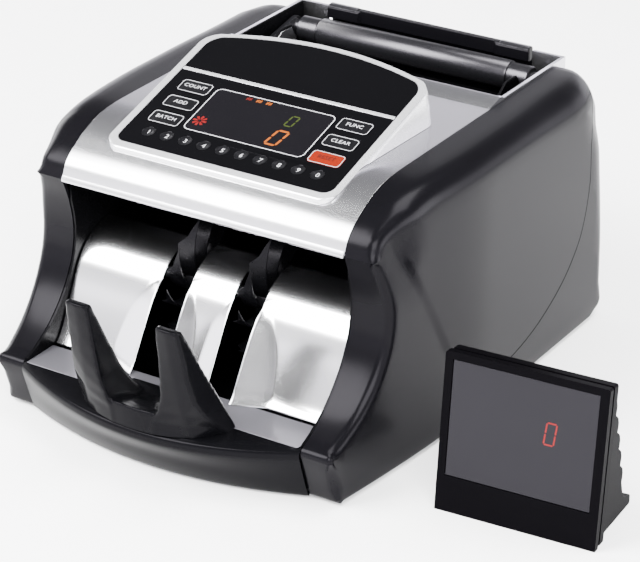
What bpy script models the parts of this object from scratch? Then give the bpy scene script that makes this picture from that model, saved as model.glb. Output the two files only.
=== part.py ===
"""Banknote counter with a remote display, modelled as separate pieces.

Metres, +Z up. The machine has its own frame: +X to its right, +Y to its back, its floor at z = 0
and y = 0 at the front lower edge of the top cover. Lengths below are in millimetres, times MM.
"""
import math

import bmesh
import bpy
from mathutils import Matrix, Vector

MM = 0.001

# Driving dimensions of the machine
BAY_HALF = 100.0          # half width between the side covers; banknotes up to 190 mm long pass
GAP = 0.3                 # clearance between pieces that meet
WALL = 2.4                # moulded wall thickness
SHEET = 1.5               # sheet metal thickness
CASE_BOTTOM = 2.0
DECK_Z = 171.5            # top of the flat deck
REAR_Y = 268.0            # back of the casing
REAR_BEND = 22.0         # radius of the bend from its top to its back
NOSE = (-1.0, 140.5)      # front crease of the casing, (y, z)
TIP = (-47.5, 37.0)       # front tip of the side covers' feet, (y, z)
PLACE = (-65.3, -98.0)    # machine frame's place in the object's frame, which is centred on its base

# Stacker
FLOOR_Z = 37.0
FLOOR_FRONT = -46.0
WHEEL_X = 25.6
WHEEL_AXIS = (40.0, 75.0)
WHEEL_R = 50.0
WHEEL_WIDTH = 12.0
WHEEL_BLADES = 8
WHEEL_SWEEP = 75.0
SLOT = (15.6, 36.0)       # the gaps between the deflector plates, in x

# Console
CONSOLE_AT = (16.5, 163.4)
CONSOLE_SLOPE = math.radians(16.28)
POD_HALF = 79.5
OVERLAY_HALF = 76.2
KEY_X = 57.0
KEY_ROWS = (32.8, 49.0, 65.4)
KEY_SIZE = (22.0, 11.0)
NUMBER_PITCH = 13.3
NUMBER_ROW = 18.0
NUMBER_R = 4.3

# Hopper
HOPPER_FRONT = 167.0
HOPPER_MOUTH = 181.0
COLLAR_WALL = 2.0
RIM_Z = 173.0            # top of the hopper's side rims, just proud of the covers
HANDLE_PIVOT = (190.0, 150.0)
HANDLE_BAR = (246.0, 161.0)
DOOR_HALF = 75.6
DOOR_HINGE = (266.8, 70.0)

# Drive, each (y, z) of a shaft and the radius of its pulley
SHAFT_R = 4.0
MOTOR_AXIS = (120.0, 40.0)
MOTOR_PULLEY_R = 8.0
FEED_AXIS = (150.0, 100.0)
FEED_PULLEY_R = 14.0
IMPELLER_PULLEY_R = 14.0
PICKUP_AXIS = (196.0, 116.5)
PULLEY_X = (103.0, 111.0)

# Remote display
REMOTE_AT = (215.7, -5.1)
REMOTE_TURN = math.radians(3.87)
REMOTE_LEAN = math.radians(6.67)
REMOTE_SIZE = (100.0, 13.5, 98.2)

# Directions of a plate's flat outline: (y, z) outlines extruded along X, and (x, z) along Y
SIDE_VIEW = (math.pi / 2, 0.0, math.pi / 2)
FRONT_VIEW = (math.pi / 2, 0.0, 0.0)
TOP_VIEW = (0.0, 0.0, 0.0)
ALONG_X = (0.0, math.pi / 2, 0.0)
ALONG_Y = (-math.pi / 2, 0.0, 0.0)

COLOURS = {
    "cover_black": ((0.022, 0.021, 0.024), 0.34, 0.0),
    "frame_black": ((0.015, 0.015, 0.016), 0.5, 0.0),
    "silver_paint": ((0.72, 0.72, 0.74), 0.28, 0.6),
    "deflector_metal": ((0.66, 0.66, 0.68), 0.3, 0.9),
    "floor_grey": ((0.42, 0.41, 0.44), 0.4, 0.3),
    "gloss_black": ((0.006, 0.006, 0.007), 0.06, 0.0),
    "key_black": ((0.012, 0.012, 0.013), 0.12, 0.0),
    "key_orange": ((0.82, 0.12, 0.03), 0.3, 0.0),
    "wheel_black": ((0.02, 0.02, 0.022), 0.42, 0.0),
    "rubber": ((0.02, 0.02, 0.02), 0.85, 0.0),
    "steel": ((0.55, 0.55, 0.56), 0.3, 1.0),
    "board_green": ((0.03, 0.16, 0.07), 0.5, 0.0),
    "remote_black": ((0.03, 0.03, 0.033), 0.42, 0.0),
    "window_smoke": ((0.05, 0.048, 0.055), 0.12, 0.0),
}


# ---------------------------------------------------------------- helpers

def clear_scene():
    for existing in list(bpy.data.objects):
        bpy.data.objects.remove(existing, do_unlink=True)


def new_collection(name):
    made = bpy.data.collections.new(name)
    bpy.context.scene.collection.children.link(made)
    return made


def material(slot):
    found = bpy.data.materials.get(slot)
    if found:
        return found
    colour, roughness, metallic = COLOURS[slot]
    made = bpy.data.materials.new(slot)
    made.use_nodes = True
    shader = made.node_tree.nodes["Principled BSDF"]
    shader.inputs["Base Color"].default_value = (*colour, 1.0)
    shader.inputs["Roughness"].default_value = roughness
    shader.inputs["Metallic"].default_value = metallic
    return made


def vec(x, y, z):
    return Vector((x, y, z)) * MM


def empty(name, at, parent=None, turn=(0.0, 0.0, 0.0)):
    made = bpy.data.objects.new(name, None)
    made.location = vec(*at)
    made.rotation_euler = turn
    made.parent = parent
    PARTS.objects.link(made)
    return made


def place(name, mesh, slot, at=(0.0, 0.0, 0.0), turn=(0.0, 0.0, 0.0), parent=None, smooth=False):
    """Makes a named piece of the object from a mesh."""
    made = bpy.data.objects.new(name, mesh)
    mesh.materials.clear()
    mesh.materials.append(material(slot))
    made.location = vec(*at)
    made.rotation_euler = turn
    made.parent = parent or MACHINE
    if smooth:
        mesh.shade_smooth()
        mesh.set_sharp_from_angle(angle=math.radians(35))
    PARTS.objects.link(made)
    return made


def cutter(name, mesh, at=(0.0, 0.0, 0.0), turn=(0.0, 0.0, 0.0), parent=None):
    made = bpy.data.objects.new(name, mesh)
    made.location = vec(*at)
    made.rotation_euler = turn
    made.parent = parent or MACHINE
    made.hide_render = True
    made.display_type = "WIRE"
    CUTTERS.objects.link(made)
    return made


def combine(piece, other, operation="DIFFERENCE"):
    change = piece.modifiers.new(operation.lower(), "BOOLEAN")
    change.object = other
    change.operation = operation
    change.solver = "EXACT"


def mesh_from(name, build):
    """Makes a mesh from a bmesh that the given function fills in."""
    work = bmesh.new()
    build(work)
    mesh = bpy.data.meshes.new(name)
    work.to_mesh(mesh)
    work.free()
    return mesh


def box_mesh(name, low, high):
    """A box between two corners, in millimetres."""
    size = Vector(high) - Vector(low)
    centre = (Vector(high) + Vector(low)) / 2

    def build(work):
        shape = Matrix.Translation(centre * MM) @ Matrix.Diagonal((*(size * MM), 1.0))
        bmesh.ops.create_cube(work, size=1.0, matrix=shape)
    return mesh_from(name, build)


def rod_mesh(name, radius, length, sides=24):
    """A cylinder along local Z, centred on the origin."""
    def build(work):
        bmesh.ops.create_cone(work, cap_ends=True, segments=sides, radius1=radius * MM,
                              radius2=radius * MM, depth=length * MM)
    return mesh_from(name, build)


def flat_mesh(name, loops, thickness):
    """A flat outline with holes, as thick as said, centred on its own plane."""
    curve = bpy.data.curves.new(name, "CURVE")
    curve.dimensions = "2D"
    curve.fill_mode = "BOTH"
    curve.extrude = thickness * MM / 2
    for loop in loops:
        spline = curve.splines.new("POLY")
        spline.points.add(len(loop) - 1)
        spline.use_cyclic_u = True
        for point, (a, b) in zip(spline.points, loop):
            point.co = (a * MM, b * MM, 0.0, 1.0)
    holder = bpy.data.objects.new(name, curve)
    bpy.context.scene.collection.objects.link(holder)
    bpy.context.view_layer.update()
    graph = bpy.context.evaluated_depsgraph_get()
    mesh = bpy.data.meshes.new_from_object(holder.evaluated_get(graph))
    bpy.data.objects.remove(holder, do_unlink=True)
    bpy.data.curves.remove(curve)
    work = bmesh.new()
    work.from_mesh(mesh)
    bmesh.ops.remove_doubles(work, verts=work.verts, dist=0.00001)
    bmesh.ops.recalc_face_normals(work, faces=work.faces)
    work.to_mesh(mesh)
    work.free()
    return mesh


def turned(name, profile, slot, at, turn, parent=None, steps=28):
    """A turned piece: (radius, height) points from top to bottom, about local Z."""
    def build(work):
        points = [work.verts.new((r * MM, 0.0, h * MM)) for r, h in profile]
        for first, second in zip(points, points[1:]):
            work.edges.new((first, second))
    piece = place(name, mesh_from(name, build), slot, at, turn, parent)
    screw = piece.modifiers.new("turn", "SCREW")
    screw.axis = "Z"
    screw.steps = steps
    screw.render_steps = steps
    screw.use_merge_vertices = True
    screw.merge_threshold = 0.00001
    return piece


def grid_mesh(name, rows, closed=False):
    """An open surface through rows of points; each row has the same number of points."""
    def build(work):
        made = [[work.verts.new(Vector(p) * MM) for p in row] for row in rows]
        last = len(made) if closed else len(made) - 1
        for i in range(last):
            near, far = made[i], made[(i + 1) % len(made)]
            for j in range(len(near) - 1):
                work.faces.new((near[j], near[j + 1], far[j + 1], far[j]))
    return mesh_from(name, build)


def thicken(piece, thickness, offset=-1.0):
    change = piece.modifiers.new("wall", "SOLIDIFY")
    change.thickness = thickness * MM
    change.offset = offset
    change.use_even_offset = True


def sheet(name, profile, x_low, x_high, thickness, slot):
    """A bent sheet: a side profile whose left hand side is its outside, run along X."""
    rows = [[(x_low, y, z), (x_high, y, z)] for y, z in profile]
    piece = place(name, grid_mesh(name, rows), slot, smooth=True)
    thicken(piece, thickness)
    return piece


def smooth_path(points, steps):
    """A Catmull-Rom curve through the points, with so many steps between each two."""
    ends = [tuple(2 * a - b for a, b in zip(points[0], points[1]))]
    tail = [tuple(2 * a - b for a, b in zip(points[-1], points[-2]))]
    known = [Vector(p) for p in ends + list(points) + tail]
    path = []
    for p0, p1, p2, p3 in zip(known, known[1:], known[2:], known[3:]):
        for step in range(steps):
            t = step / steps
            path.append(0.5 * (2 * p1 + (p2 - p0) * t + (2 * p0 - 5 * p1 + 4 * p2 - p3) * t ** 2
                               + (3 * p1 - p0 - 3 * p2 + p3) * t ** 3))
    path.append(known[-2])
    return [tuple(p) for p in path]


def arc(centre, radius, start, end, steps):
    """Points on a circle from one angle to another, in degrees."""
    angles = [math.radians(start + (end - start) * i / steps) for i in range(steps + 1)]
    return [(centre[0] + radius * math.cos(a), centre[1] + radius * math.sin(a)) for a in angles]


def rounded_box(x_low, y_low, x_high, y_high, radius, steps=4):
    corners = [((x_high - radius, y_low + radius), -90), ((x_high - radius, y_high - radius), 0),
               ((x_low + radius, y_high - radius), 90), ((x_low + radius, y_low + radius), 180)]
    return [p for centre, start in corners for p in arc(centre, radius, start, start + 90, steps)]


def circle(centre, radius, sides=20):
    return arc(centre, radius, 0, 360 - 360 / sides, sides - 1)


def ease(t):
    t = min(max(t, 0.0), 1.0)
    return t * t * (3 - 2 * t)


# ---------------------------------------------------------------- casing

FRONT_CURVE = [TIP, (-36.0, 42.0), (-22.0, 50.5), (-9.5, 62.5), (0.0, 76.0), (6.0, 90.0),
               (8.0, 106.0), (5.0, 124.0), NOSE]
TOP_CURVE = [NOSE, (2.8, 149.3), (8.2, 154.7), (15.2, 159.2), (25.7, 164.9), (37.4, 169.0),
             (51.2, 171.0), (66.0, DECK_Z)]
SEAM = [(252.0, 176.0), (250.0, 171.0), (245.5, 160.0), (240.5, 146.0), (237.5, 127.0),
        (237.0, 104.0), (231.0, 80.0), (222.0, 64.0), (204.0, 47.0), (178.0, 33.0), (152.0, 25.0),
        (120.0, 20.5), (100.0, 16.0), (88.0, 8.0), (84.0, -4.0)]
GRID_Y = (-25.0, 0.0, 25.0, 50.0, 80.0, 115.0, 155.0, 195.0, 235.0)
GRID_Z = (30.0, 60.0, 90.0, 120.0, 148.0)
GRID_STEP = (0.0, 2.5, 5.0, 7.5)


def casing_outline():
    """Side outline of the casing, clockwise from its front foot, as (y, z, edge radius, set-back)."""
    outline = [(-33.0, CASE_BOTTOM, 3.0, 0.0)]
    outline += [(y, z, 3.2, 0.0) for y, z in arc((-34.6, CASE_BOTTOM + 4.0), 4.0, 250, 195, 2)]
    outline += [(-42.6, 18.0, 6.0, 0.0)]
    outline += [(y, z, 6.0, 0.0) for y, z in arc((-43.1, 33.6), 4.4, 195, 112, 3)]
    front = smooth_path([outline[-1][:2], (-36.0, 41.7)] + FRONT_CURVE[2:], 2)
    for y, z in front[2:-1]:
        height = min(max((z - TIP[1]) / (NOSE[1] - TIP[1]), 0.0), 1.0)
        outline.append((y, z, 6.0, 0.6 * math.sin(math.pi * height)))
    for y, z in smooth_path(TOP_CURVE, 1):
        outline.append((y, z, 6.5 + 9.0 * ease((y + 1.0) / 40.0), 0.0))
    for y in (120.0, 160.0, 200.0, 226.0):
        outline.append((y, DECK_Z, 15.5 + 2.0 * ease((y - 150.0) / 60.0), 0.0))
    corner = arc((REAR_Y - REAR_BEND, DECK_Z - REAR_BEND), REAR_BEND, 90, 0, 5)
    outline += [(y, z, 17.5 + 0.8 * i, 0.0) for i, (y, z) in enumerate(corner)]
    for z in (136.0, 115.0, 94.0, 68.0, 42.0, 22.0):
        radius = 11.0 + 5.0 * ease(z / 80.0) + 10.0 * ease((z - 50.0) / 90.0)
        outline.append((REAR_Y, z, radius, 0.0))
    outline += [(y, z, 7.5, 0.0) for y, z
                in arc((REAR_Y - 10.0, CASE_BOTTOM + 10.0), 10.0, 0, -90, 3)]
    for y in (235.0, 200.0, 160.0, 120.0, 90.0, 60.0, 30.0, 0.0, -22.0):
        outline.append((y, CASE_BOTTOM, 3.0, 0.0))
    # No edge is rounder than its place in the outline has room for
    points = [Vector(p[:2]) for p in outline]
    fitted = []
    for i, (y, z, radius, setback) in enumerate(outline):
        along = (points[(i + 1) % len(points)] - points[i - 1]).normalized()
        inward = Vector((along.y, -along.x))
        room = 50.0
        for other in points:
            apart = other - points[i]
            if apart.dot(inward) > 1e-6:
                room = min(room, apart.length_squared / (2 * apart.dot(inward)))
        fitted.append((y, z, min(radius, 0.8 * room), min(setback, 0.5 * room)))
    return fitted


def side_x(y, z):
    """Half width of the casing at a place on its side: a proud panel behind a slanted step."""
    along = min(max((y + 38.0) / 110.0, 0.0), 1.0)
    front = 120.1 + 5.8 * along + 5.8 * math.sin(math.pi / 2 * along) - 5.8 * ease((z - 105.0) / 45.0)
    panel = 126.5 + 7.0 * ease(y / 110.0) + 1.5 * math.sin(math.pi * min(max(z / 170.0, 0.0), 1.0))
    panel -= 13.0 * ease((y - 232.0) / 36.0) * ease((z - 118.0) / 50.0)
    behind_step = 0.875 * (y - 38.1) + 0.484 * (z - 99.5)
    return front + (panel - front) * ease(behind_step / 7.5)


def casing_rings(inner_x):
    """Points of the right half's outside: for each outline station, from the inner x outwards."""
    outline = casing_outline()
    count = len(outline)
    stations = []
    for i, (y, z, radius, setback) in enumerate(outline):
        before, after = Vector(outline[i - 1][:2]), Vector(outline[(i + 1) % count][:2])
        along = (after - before).normalized()
        inward = Vector((along.y, -along.x))
        line = [(inner_x, y, z)]
        for angle in (0, 30, 60, 90):
            turn = math.radians(angle)
            at = Vector((y, z)) + inward * (setback + radius * (1 - math.cos(turn)))
            x = side_x(at.x, at.y) - radius * (1 - math.sin(turn))
            line.append((x, at.x, at.y))
        stations.append(line)
    return stations


def half_shell(work, stations, side):
    """Adds one side's outer surface, its flat part cut into a grid; returns the open edge."""
    made = []
    for line in stations:
        made.append([work.verts.new(Vector((side * x, y, z)) * MM) for x, y, z in line])
    count = len(made)
    for i in range(count):
        near, far = made[i], made[(i + 1) % count]
        for j in range(len(near) - 1):
            corners = [near[j], near[j + 1], far[j + 1], far[j]]
            work.faces.new(corners if side > 0 else corners[::-1])
    edge = [line[-1] for line in made]
    panel = [work.faces.new(edge if side < 0 else edge[::-1])]
    around = set(edge)
    planes = [((0.0, y, 0.0), (0.0, 1.0, 0.0)) for y in GRID_Y]
    planes += [((0.0, 0.0, z), (0.0, 0.0, 1.0)) for z in GRID_Z]
    planes += [((0.0, 38.1 + 0.875 * d, 99.5 + 0.484 * d), (0.0, 0.875, 0.484)) for d in GRID_STEP]
    for at, normal in planes:
        pieces = set(panel)
        for face in panel:
            pieces.update(face.edges)
            pieces.update(face.verts)
        cut = bmesh.ops.bisect_plane(work, geom=list(pieces), dist=0.0001, plane_co=vec(*at),
                                     plane_no=Vector(normal))
        panel = [item for item in cut["geom"] if isinstance(item, bmesh.types.BMFace)]
    inner = {vert for face in panel for vert in face.verts} - around
    for vert in inner:
        if all(face in panel for face in vert.link_faces):
            vert.co.x = side * side_x(vert.co.y / MM, vert.co.z / MM) * MM
    return [line[0] for line in made]


def seam_mesh(name, shift):
    """Everything behind and below the seam between side covers and rear shell."""
    line = [(y + shift, z - shift) for y, z in smooth_path(SEAM, 1)]
    region = line + [(60.0 + shift, -20.0), (300.0, -20.0), (300.0, 190.0), (253.0 + shift, 190.0)]
    return flat_mesh(name, [region], 320.0)


def make_casing():
    stations = casing_rings(BAY_HALF - 2.0)
    seam_front = cutter("seam_front", seam_mesh("seam_front", 0.0), turn=SIDE_VIEW)
    between = cutter("between_covers", box_mesh("between_covers", (-BAY_HALF, -80.0, -20.0),
                                                (BAY_HALF, 300.0, 200.0)))
    seam_back = cutter("seam_back", seam_mesh("seam_back", GAP), turn=SIDE_VIEW)
    for side, name in ((-1, "side_cover_left"), (1, "side_cover_right")):
        mesh = mesh_from(name, lambda work, side=side: half_shell(work, stations, side))
        cover = place(name, mesh, "cover_black", smooth=True)
        thicken(cover, WALL)
        combine(cover, seam_front)
        combine(cover, between)

    stations = casing_rings(BAY_HALF)

    def build_rear(work):
        left = half_shell(work, stations, -1)
        right = half_shell(work, stations, 1)
        for i, (first, second) in enumerate(zip(stations, stations[1:])):
            on_back = first[0][1] > REAR_Y - 7.0 and second[0][1] > REAR_Y - 7.0
            if on_back and max(first[0][2], second[0][2]) < DECK_Z - REAR_BEND + 1.0:
                work.faces.new((left[i], right[i], right[i + 1], left[i + 1]))
    rear = place("rear_shell", mesh_from("rear_shell", build_rear), "cover_black", smooth=True)
    thicken(rear, WALL)
    combine(rear, seam_back, "INTERSECT")
    door_gap = box_mesh("door_gap", (-DOOR_HALF - 0.7, 255.0, 68.3), (DOOR_HALF + 0.7, 275.0, 180.0))
    combine(rear, cutter("door_gap", door_gap))
    for name, low, high in (("inlet_gap", (46.2, 255.0, 15.7), (73.8, 275.0, 36.3)),
                            ("switch_gap", (25.4, 255.0, 15.8), (38.6, 275.0, 36.2))):
        combine(rear, cutter(name, box_mesh(name, low, high)))
    jack_gap = cutter("jack_gap", rod_mesh("jack_gap", 5.3, 20.0), (5.0, REAR_Y, 26.0), ALONG_Y)
    combine(rear, jack_gap)
    knob_gap = cutter("knob_gap", rod_mesh("knob_gap", 3.4, 20.0), (-88.0, REAR_Y, 110.0), ALONG_Y)
    combine(rear, knob_gap)
    for i in range(5):
        name = f"vent_{i + 1}"
        low_z = 14.0 + 6.5 * i
        slot = box_mesh(name, (-74.0, 255.0, low_z), (-24.0, 275.0, low_z + 3.0))
        combine(rear, cutter(name, slot))


def make_chassis():
    base = box_mesh("base_plate", (-99.4, -34.0, 4.0), (99.4, 261.0, 6.0))
    place("base_plate", base, "frame_black")
    feet = [("front_left", -82, -14), ("front_right", 82, -14), ("rear_left", -82, 240),
            ("rear_right", 82, 240)]
    for name, x, y in feet:
        profile = [(0, 3.7), (9, 3.7), (9, 1.2), (7.5, 0), (0, 0)]
        turned(f"foot_{name}", profile, "rubber", (x, y, 0), TOP_VIEW, steps=20)
    outline = [(-36.6, 6.4), (-40.8, 18.0), (-44.6, 29.0), (-44.6, 38.0)]
    outline += [(y + 0.8, z) for y, z in smooth_path(FRONT_CURVE, 2)[2:-2]]
    outline += [(5.5, 134.0)] + [(y + 4.0, z - 3.6) for y, z in TOP_CURVE[1:]]
    outline += [(HOPPER_FRONT - 1.0, DECK_Z - 3.6), (HOPPER_FRONT - 1.0, 123.6), (264.0, 123.6),
                (264.0, 14.0), (261.0, 6.4)]
    holes = [circle(axis, SHAFT_R + 0.4) for axis in (WHEEL_AXIS, FEED_AXIS, PICKUP_AXIS)]
    holes.append(circle(MOTOR_AXIS, 5.0))
    for side, name in ((-1, "side_frame_left"), (1, "side_frame_right")):
        mesh = flat_mesh(name, [outline] + holes, SHEET)
        place(name, mesh, "frame_black", (side * 98.95, 0, 0), SIDE_VIEW)


def make_top_cover():
    profile = TOP_CURVE + [(HOPPER_FRONT - 0.3, DECK_Z)]
    profile = profile[::-1]
    rows = [[(x, y, z) for x in (99.7, 0.0, -99.7)] for y, z in profile]
    cover = place("top_cover", grid_mesh("top_cover", rows), "silver_paint", smooth=True)
    thicken(cover, WALL)
    opening = box_mesh("console_opening", (-77.0, 20.0, 120.0), (77.0, 100.0, 200.0))
    combine(cover, cutter("console_opening", opening))


# ---------------------------------------------------------------- console

def pod_outline(half, front, rear_side, rear_middle, front_r, rear_r):
    """Outline of the console in its sloping plane, (x, distance up the slope)."""
    right = arc((half - front_r, front + front_r), front_r, -90, 0, 4)
    right += arc((half - rear_r, rear_side), rear_r, 0, 62, 4)
    end_x, end_s = right[-1]
    for t in (0.33, 0.66):
        right.append((end_x * (1 - t), end_s + (rear_middle - end_s) * (1 - (1 - t) ** 2)))
    left = [(-x, s) for x, s in reversed(right)]
    return right + [(0.0, rear_middle)] + left


def make_console():
    frame = empty("console_frame", (0, *CONSOLE_AT), MACHINE, (CONSOLE_SLOPE, 0.0, 0.0))
    depth = 62.0
    outer = pod_outline(POD_HALF, -1.5, 107.0, 131.0, 9.0, 14.0)

    def build(work):
        bottom = [work.verts.new(Vector((x * 1.085, (s + 1.5) * 0.94 - 9.5, -depth)) * MM)
                  for x, s in outer]
        top = [work.verts.new(Vector((x, s, 0.0)) * MM) for x, s in outer]
        work.faces.new(top)
        work.faces.new(bottom[::-1])
        for i in range(len(outer)):
            j = (i + 1) % len(outer)
            work.faces.new((bottom[i], bottom[j], top[j], top[i]))
    pod = place("console_bezel", mesh_from("console_bezel", build), "silver_paint", parent=frame)
    below = [(y, z + GAP) for y, z in [(-6.0, 130.0)] + TOP_CURVE[1:]]
    below += [(190.0, DECK_Z + GAP), (190.0, 60.0), (-6.0, 60.0)]
    combine(pod, cutter("deck_space", flat_mesh("deck_space", [below], 240.0), turn=SIDE_VIEW))
    recess = pod_outline(OVERLAY_HALF + GAP, 4.2, 104.0 + GAP, 126.8, 7.0, 14.0)
    combine(pod, cutter("overlay_recess", flat_mesh("overlay_recess", [recess], 20.0),
                        (0, 0, 10.0 - 1.8), parent=frame))
    hollow = rounded_box(-72.0, 58.0, 72.0, 112.0, 8.0)
    combine(pod, cutter("pod_hollow", flat_mesh("pod_hollow", [hollow], 60.0),
                        (0, 0, -34.5), parent=frame))

    keys = {}
    for side, names in ((-1, ("batch", "add", "count")), (1, ("reset", "clear", "func"))):
        for word, s in zip(names, KEY_ROWS):
            x, w, h = side * KEY_X, KEY_SIZE[0] / 2, KEY_SIZE[1] / 2
            keys[f"key_{word}"] = ((x, s), rounded_box(-w, -h, w, h, 2.4, 3))
    for i in range(10):
        x = (i - 4.5) * NUMBER_PITCH
        keys[f"key_{(i + 1) % 10}"] = ((x, NUMBER_ROW), circle((0.0, 0.0), NUMBER_R, 16))
    overlay = pod_outline(OVERLAY_HALF, 4.5, 104.0, 126.5, 6.7, 14.0)
    holes = []
    for (x, s), loop in keys.values():
        grow = [(a + math.copysign(GAP, a), b + math.copysign(GAP, b)) for a, b in loop]
        holes.append([(x + a, s + b) for a, b in grow])
    place("console_overlay", flat_mesh("console_overlay", [overlay] + holes, 1.3), "gloss_black",
          (0, 0, -0.85), parent=frame)
    for name, ((x, s), loop) in keys.items():
        slot = "key_orange" if name == "key_reset" else "key_black"
        place(name, flat_mesh(name, [loop], 1.0), slot, (x, s, -0.6), parent=frame)
    board = box_mesh("console_board", (-60.0, 62.0, -7.6), (60.0, 110.0, -6.0))
    place("console_board", board, "board_green", parent=frame)


# ---------------------------------------------------------------- hopper

def make_hopper():
    outer, inner = 99.7, 97.5
    frame = place("hopper_frame", box_mesh("hopper_frame", (-outer, HOPPER_FRONT, 124.2),
                                           (outer, 265.1, DECK_Z + 5.0)), "silver_paint")
    mouth = box_mesh("hopper_mouth", (-inner, HOPPER_MOUTH, 100.0), (inner, 262.9, 200.0))
    combine(frame, cutter("hopper_mouth", mouth))
    # Above the deck only the front ledge stands proud, rising towards the mouth
    above = [(160.0, DECK_Z), (HOPPER_FRONT, DECK_Z), (HOPPER_MOUTH - 2.0, DECK_Z + 3.2),
             (HOPPER_MOUTH + 0.5, DECK_Z + 3.2), (HOPPER_MOUTH + 3.0, RIM_Z), (275.0, RIM_Z),
             (275.0, 190.0), (160.0, 190.0)]
    combine(frame, cutter("above_ledge", flat_mesh("above_ledge", [above], 240.0), turn=SIDE_VIEW))
    under = [(150.0, 100.0), (HOPPER_MOUTH - COLLAR_WALL, 100.0), (HOPPER_MOUTH - COLLAR_WALL, 168.6),
             (150.0, 168.6)]
    combine(frame, cutter("under_ledge", flat_mesh("under_ledge", [under], 240.0), turn=SIDE_VIEW))
    door_space = box_mesh("door_space", (-DOOR_HALF - 1.4, 250.0, 60.0), (DOOR_HALF + 1.4, 280.0, 200.0))
    combine(frame, cutter("door_space", door_space))

    plate = sheet("hopper_plate", [(183.0, 160.0), (186.0, 138.0), (191.0, 130.5), (202.0, 128.5),
                                   (232.0, 133.0), (258.0, 141.0)][::-1], -89.0, 89.0, SHEET,
                  "frame_black")
    for side in (-1, 1):
        name = "pickup_slot_left" if side < 0 else "pickup_slot_right"
        low, high = sorted((side * 21.0, side * 41.0))
        combine(plate, cutter(name, box_mesh(name, (low, 183.5, 115.0), (high, 209.0, 145.0))))

    # Side guides stand on the plate and slide inwards to the width of the banknotes
    for side, name in ((-1, "note_guide_left"), (1, "note_guide_right")):
        shape = [(196.0, 138.0), (234.0, 141.0), (234.5, 160.0), (228.0, 169.5), (214.0, 169.5),
                 (197.0, 158.0)]
        place(name, flat_mesh(name, [shape], 2.0), "silver_paint", (side * 84.0, 0, 0), SIDE_VIEW)

    pivot = empty("handle_pivot", (0, *HANDLE_PIVOT), MACHINE)
    dy, dz = HANDLE_BAR[0] - HANDLE_PIVOT[0], HANDLE_BAR[1] - HANDLE_PIVOT[1]
    half = [(0, 92.5), (5.0, 92.5), (5.0, 86.5), (8.3, 86.0), (8.3, 71.5), (9.3, 71.0)]
    profile = half + [(r, -h) for r, h in reversed(half)]
    bar = turned("carry_handle", profile, "frame_black", (0, dy, dz), ALONG_X, pivot, 24)
    reach = math.hypot(dy, dz)
    arm_turn = (SIDE_VIEW[0] + math.atan2(dz, dy), SIDE_VIEW[1], SIDE_VIEW[2])
    for side, name in ((-1, "arm_left"), (1, "arm_right")):
        shape = arc((0.0, 0.0), 7.0, 90, 270, 8) + arc((reach, 0.0), 7.0, -90, 90, 8)
        arm = cutter(name, flat_mesh(name, [shape], 3.0), (side * 92.6, 0, 0), arm_turn, pivot)
        combine(bar, arm, "UNION")

    hinge = empty("door_hinge", (0, *DOOR_HINGE), MACHINE)
    low_y, low_z = 265.5 - DOOR_HINGE[0], 69.4 - DOOR_HINGE[1]
    door = place("rear_door", box_mesh("rear_door", (-DOOR_HALF, low_y, low_z),
                                       (DOOR_HALF, REAR_Y - DOOR_HINGE[0], 171.0 - DOOR_HINGE[1])),
                 "frame_black", parent=hinge)
    top_z, low_top = 174.8 - DOOR_HINGE[1], 166.0 - DOOR_HINGE[1]
    rail = box_mesh("door_rail", (-DOOR_HALF, 259.5 - DOOR_HINGE[0], low_top),
                    (DOOR_HALF, 266.4 - DOOR_HINGE[0], top_z))
    combine(door, cutter("door_rail", rail, parent=hinge), "UNION")
    grip = box_mesh("door_grip_relief", (-52.0, 255.0 - DOOR_HINGE[0], low_top - 1.0),
                    (52.0, 261.5 - DOOR_HINGE[0], top_z + 1.0))
    combine(door, cutter("door_grip_relief", grip, parent=hinge))


# ---------------------------------------------------------------- stacker

def ridge_y(x):
    """Front edge of the tray's top, in plan."""
    return -49.0 - 24.0 * (1 - (x / 99.0) ** 2)


def tray_top(y):
    return FLOOR_Z + (y - FLOOR_FRONT) * 0.15


def make_tray():
    rows = []
    for i in range(17):
        x = -99.6 + 199.2 * i / 16
        ridge = ridge_y(x)
        foot = -38.5 - 21.0 * (1 - (x / 100.0) ** 2)
        crest = tray_top(ridge)
        section = [(foot, CASE_BOTTOM), (foot + (ridge - foot) * 0.55, 18.0),
                   (ridge + 0.4, crest - 5.0), (ridge + 0.6, crest - 2.4), (ridge + 2.2, crest - 0.5)]
        section += [(min(ridge + 5.0, -47.2), tray_top(min(ridge + 5.0, -47.2))), (-46.6, FLOOR_Z)]
        rows.append([(x, y, z) for y, z in section])
    tray = place("front_tray", grid_mesh("front_tray", rows[::-1]), "cover_black", smooth=True)
    thicken(tray, WALL)


def make_stacker():
    floor = box_mesh("stacker_floor", (-97.9, FLOOR_FRONT, 35.0), (97.9, -19.6, FLOOR_Z))
    place("stacker_floor", floor, "floor_grey")
    profile = [(-17.3, 37.3), (-13.0, 41.5), (-7.5, 51.0), (-1.2, 63.0), (4.8, 76.0), (9.2, 85.0),
               (11.5, 90.0), (14.5, 93.4), (19.0, 95.8), (27.0, 99.2), (36.0, 103.5)][::-1]
    left, right = SLOT
    for name, low, high in (("deflector_left", -97.9, -right), ("deflector_center", -left, left),
                            ("deflector_right", right, 97.9)):
        sheet(name, profile, low, high, SHEET, "deflector_metal")
    guide = sheet("outlet_guide", [(9.0, 141.0), (34.0, 139.0), (52.0, 130.0), (66.0, 112.0),
                                   (77.5, 91.0), (79.5, 66.0)], -97.9, 97.9, SHEET, "frame_black")
    for side, name in ((-1, "guide_slot_left"), (1, "guide_slot_right")):
        low, high = sorted((side * 17.5, side * 34.5))
        combine(guide, cutter(name, box_mesh(name, (low, 46.0, 60.0), (high, 90.0, 125.0))))


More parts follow.
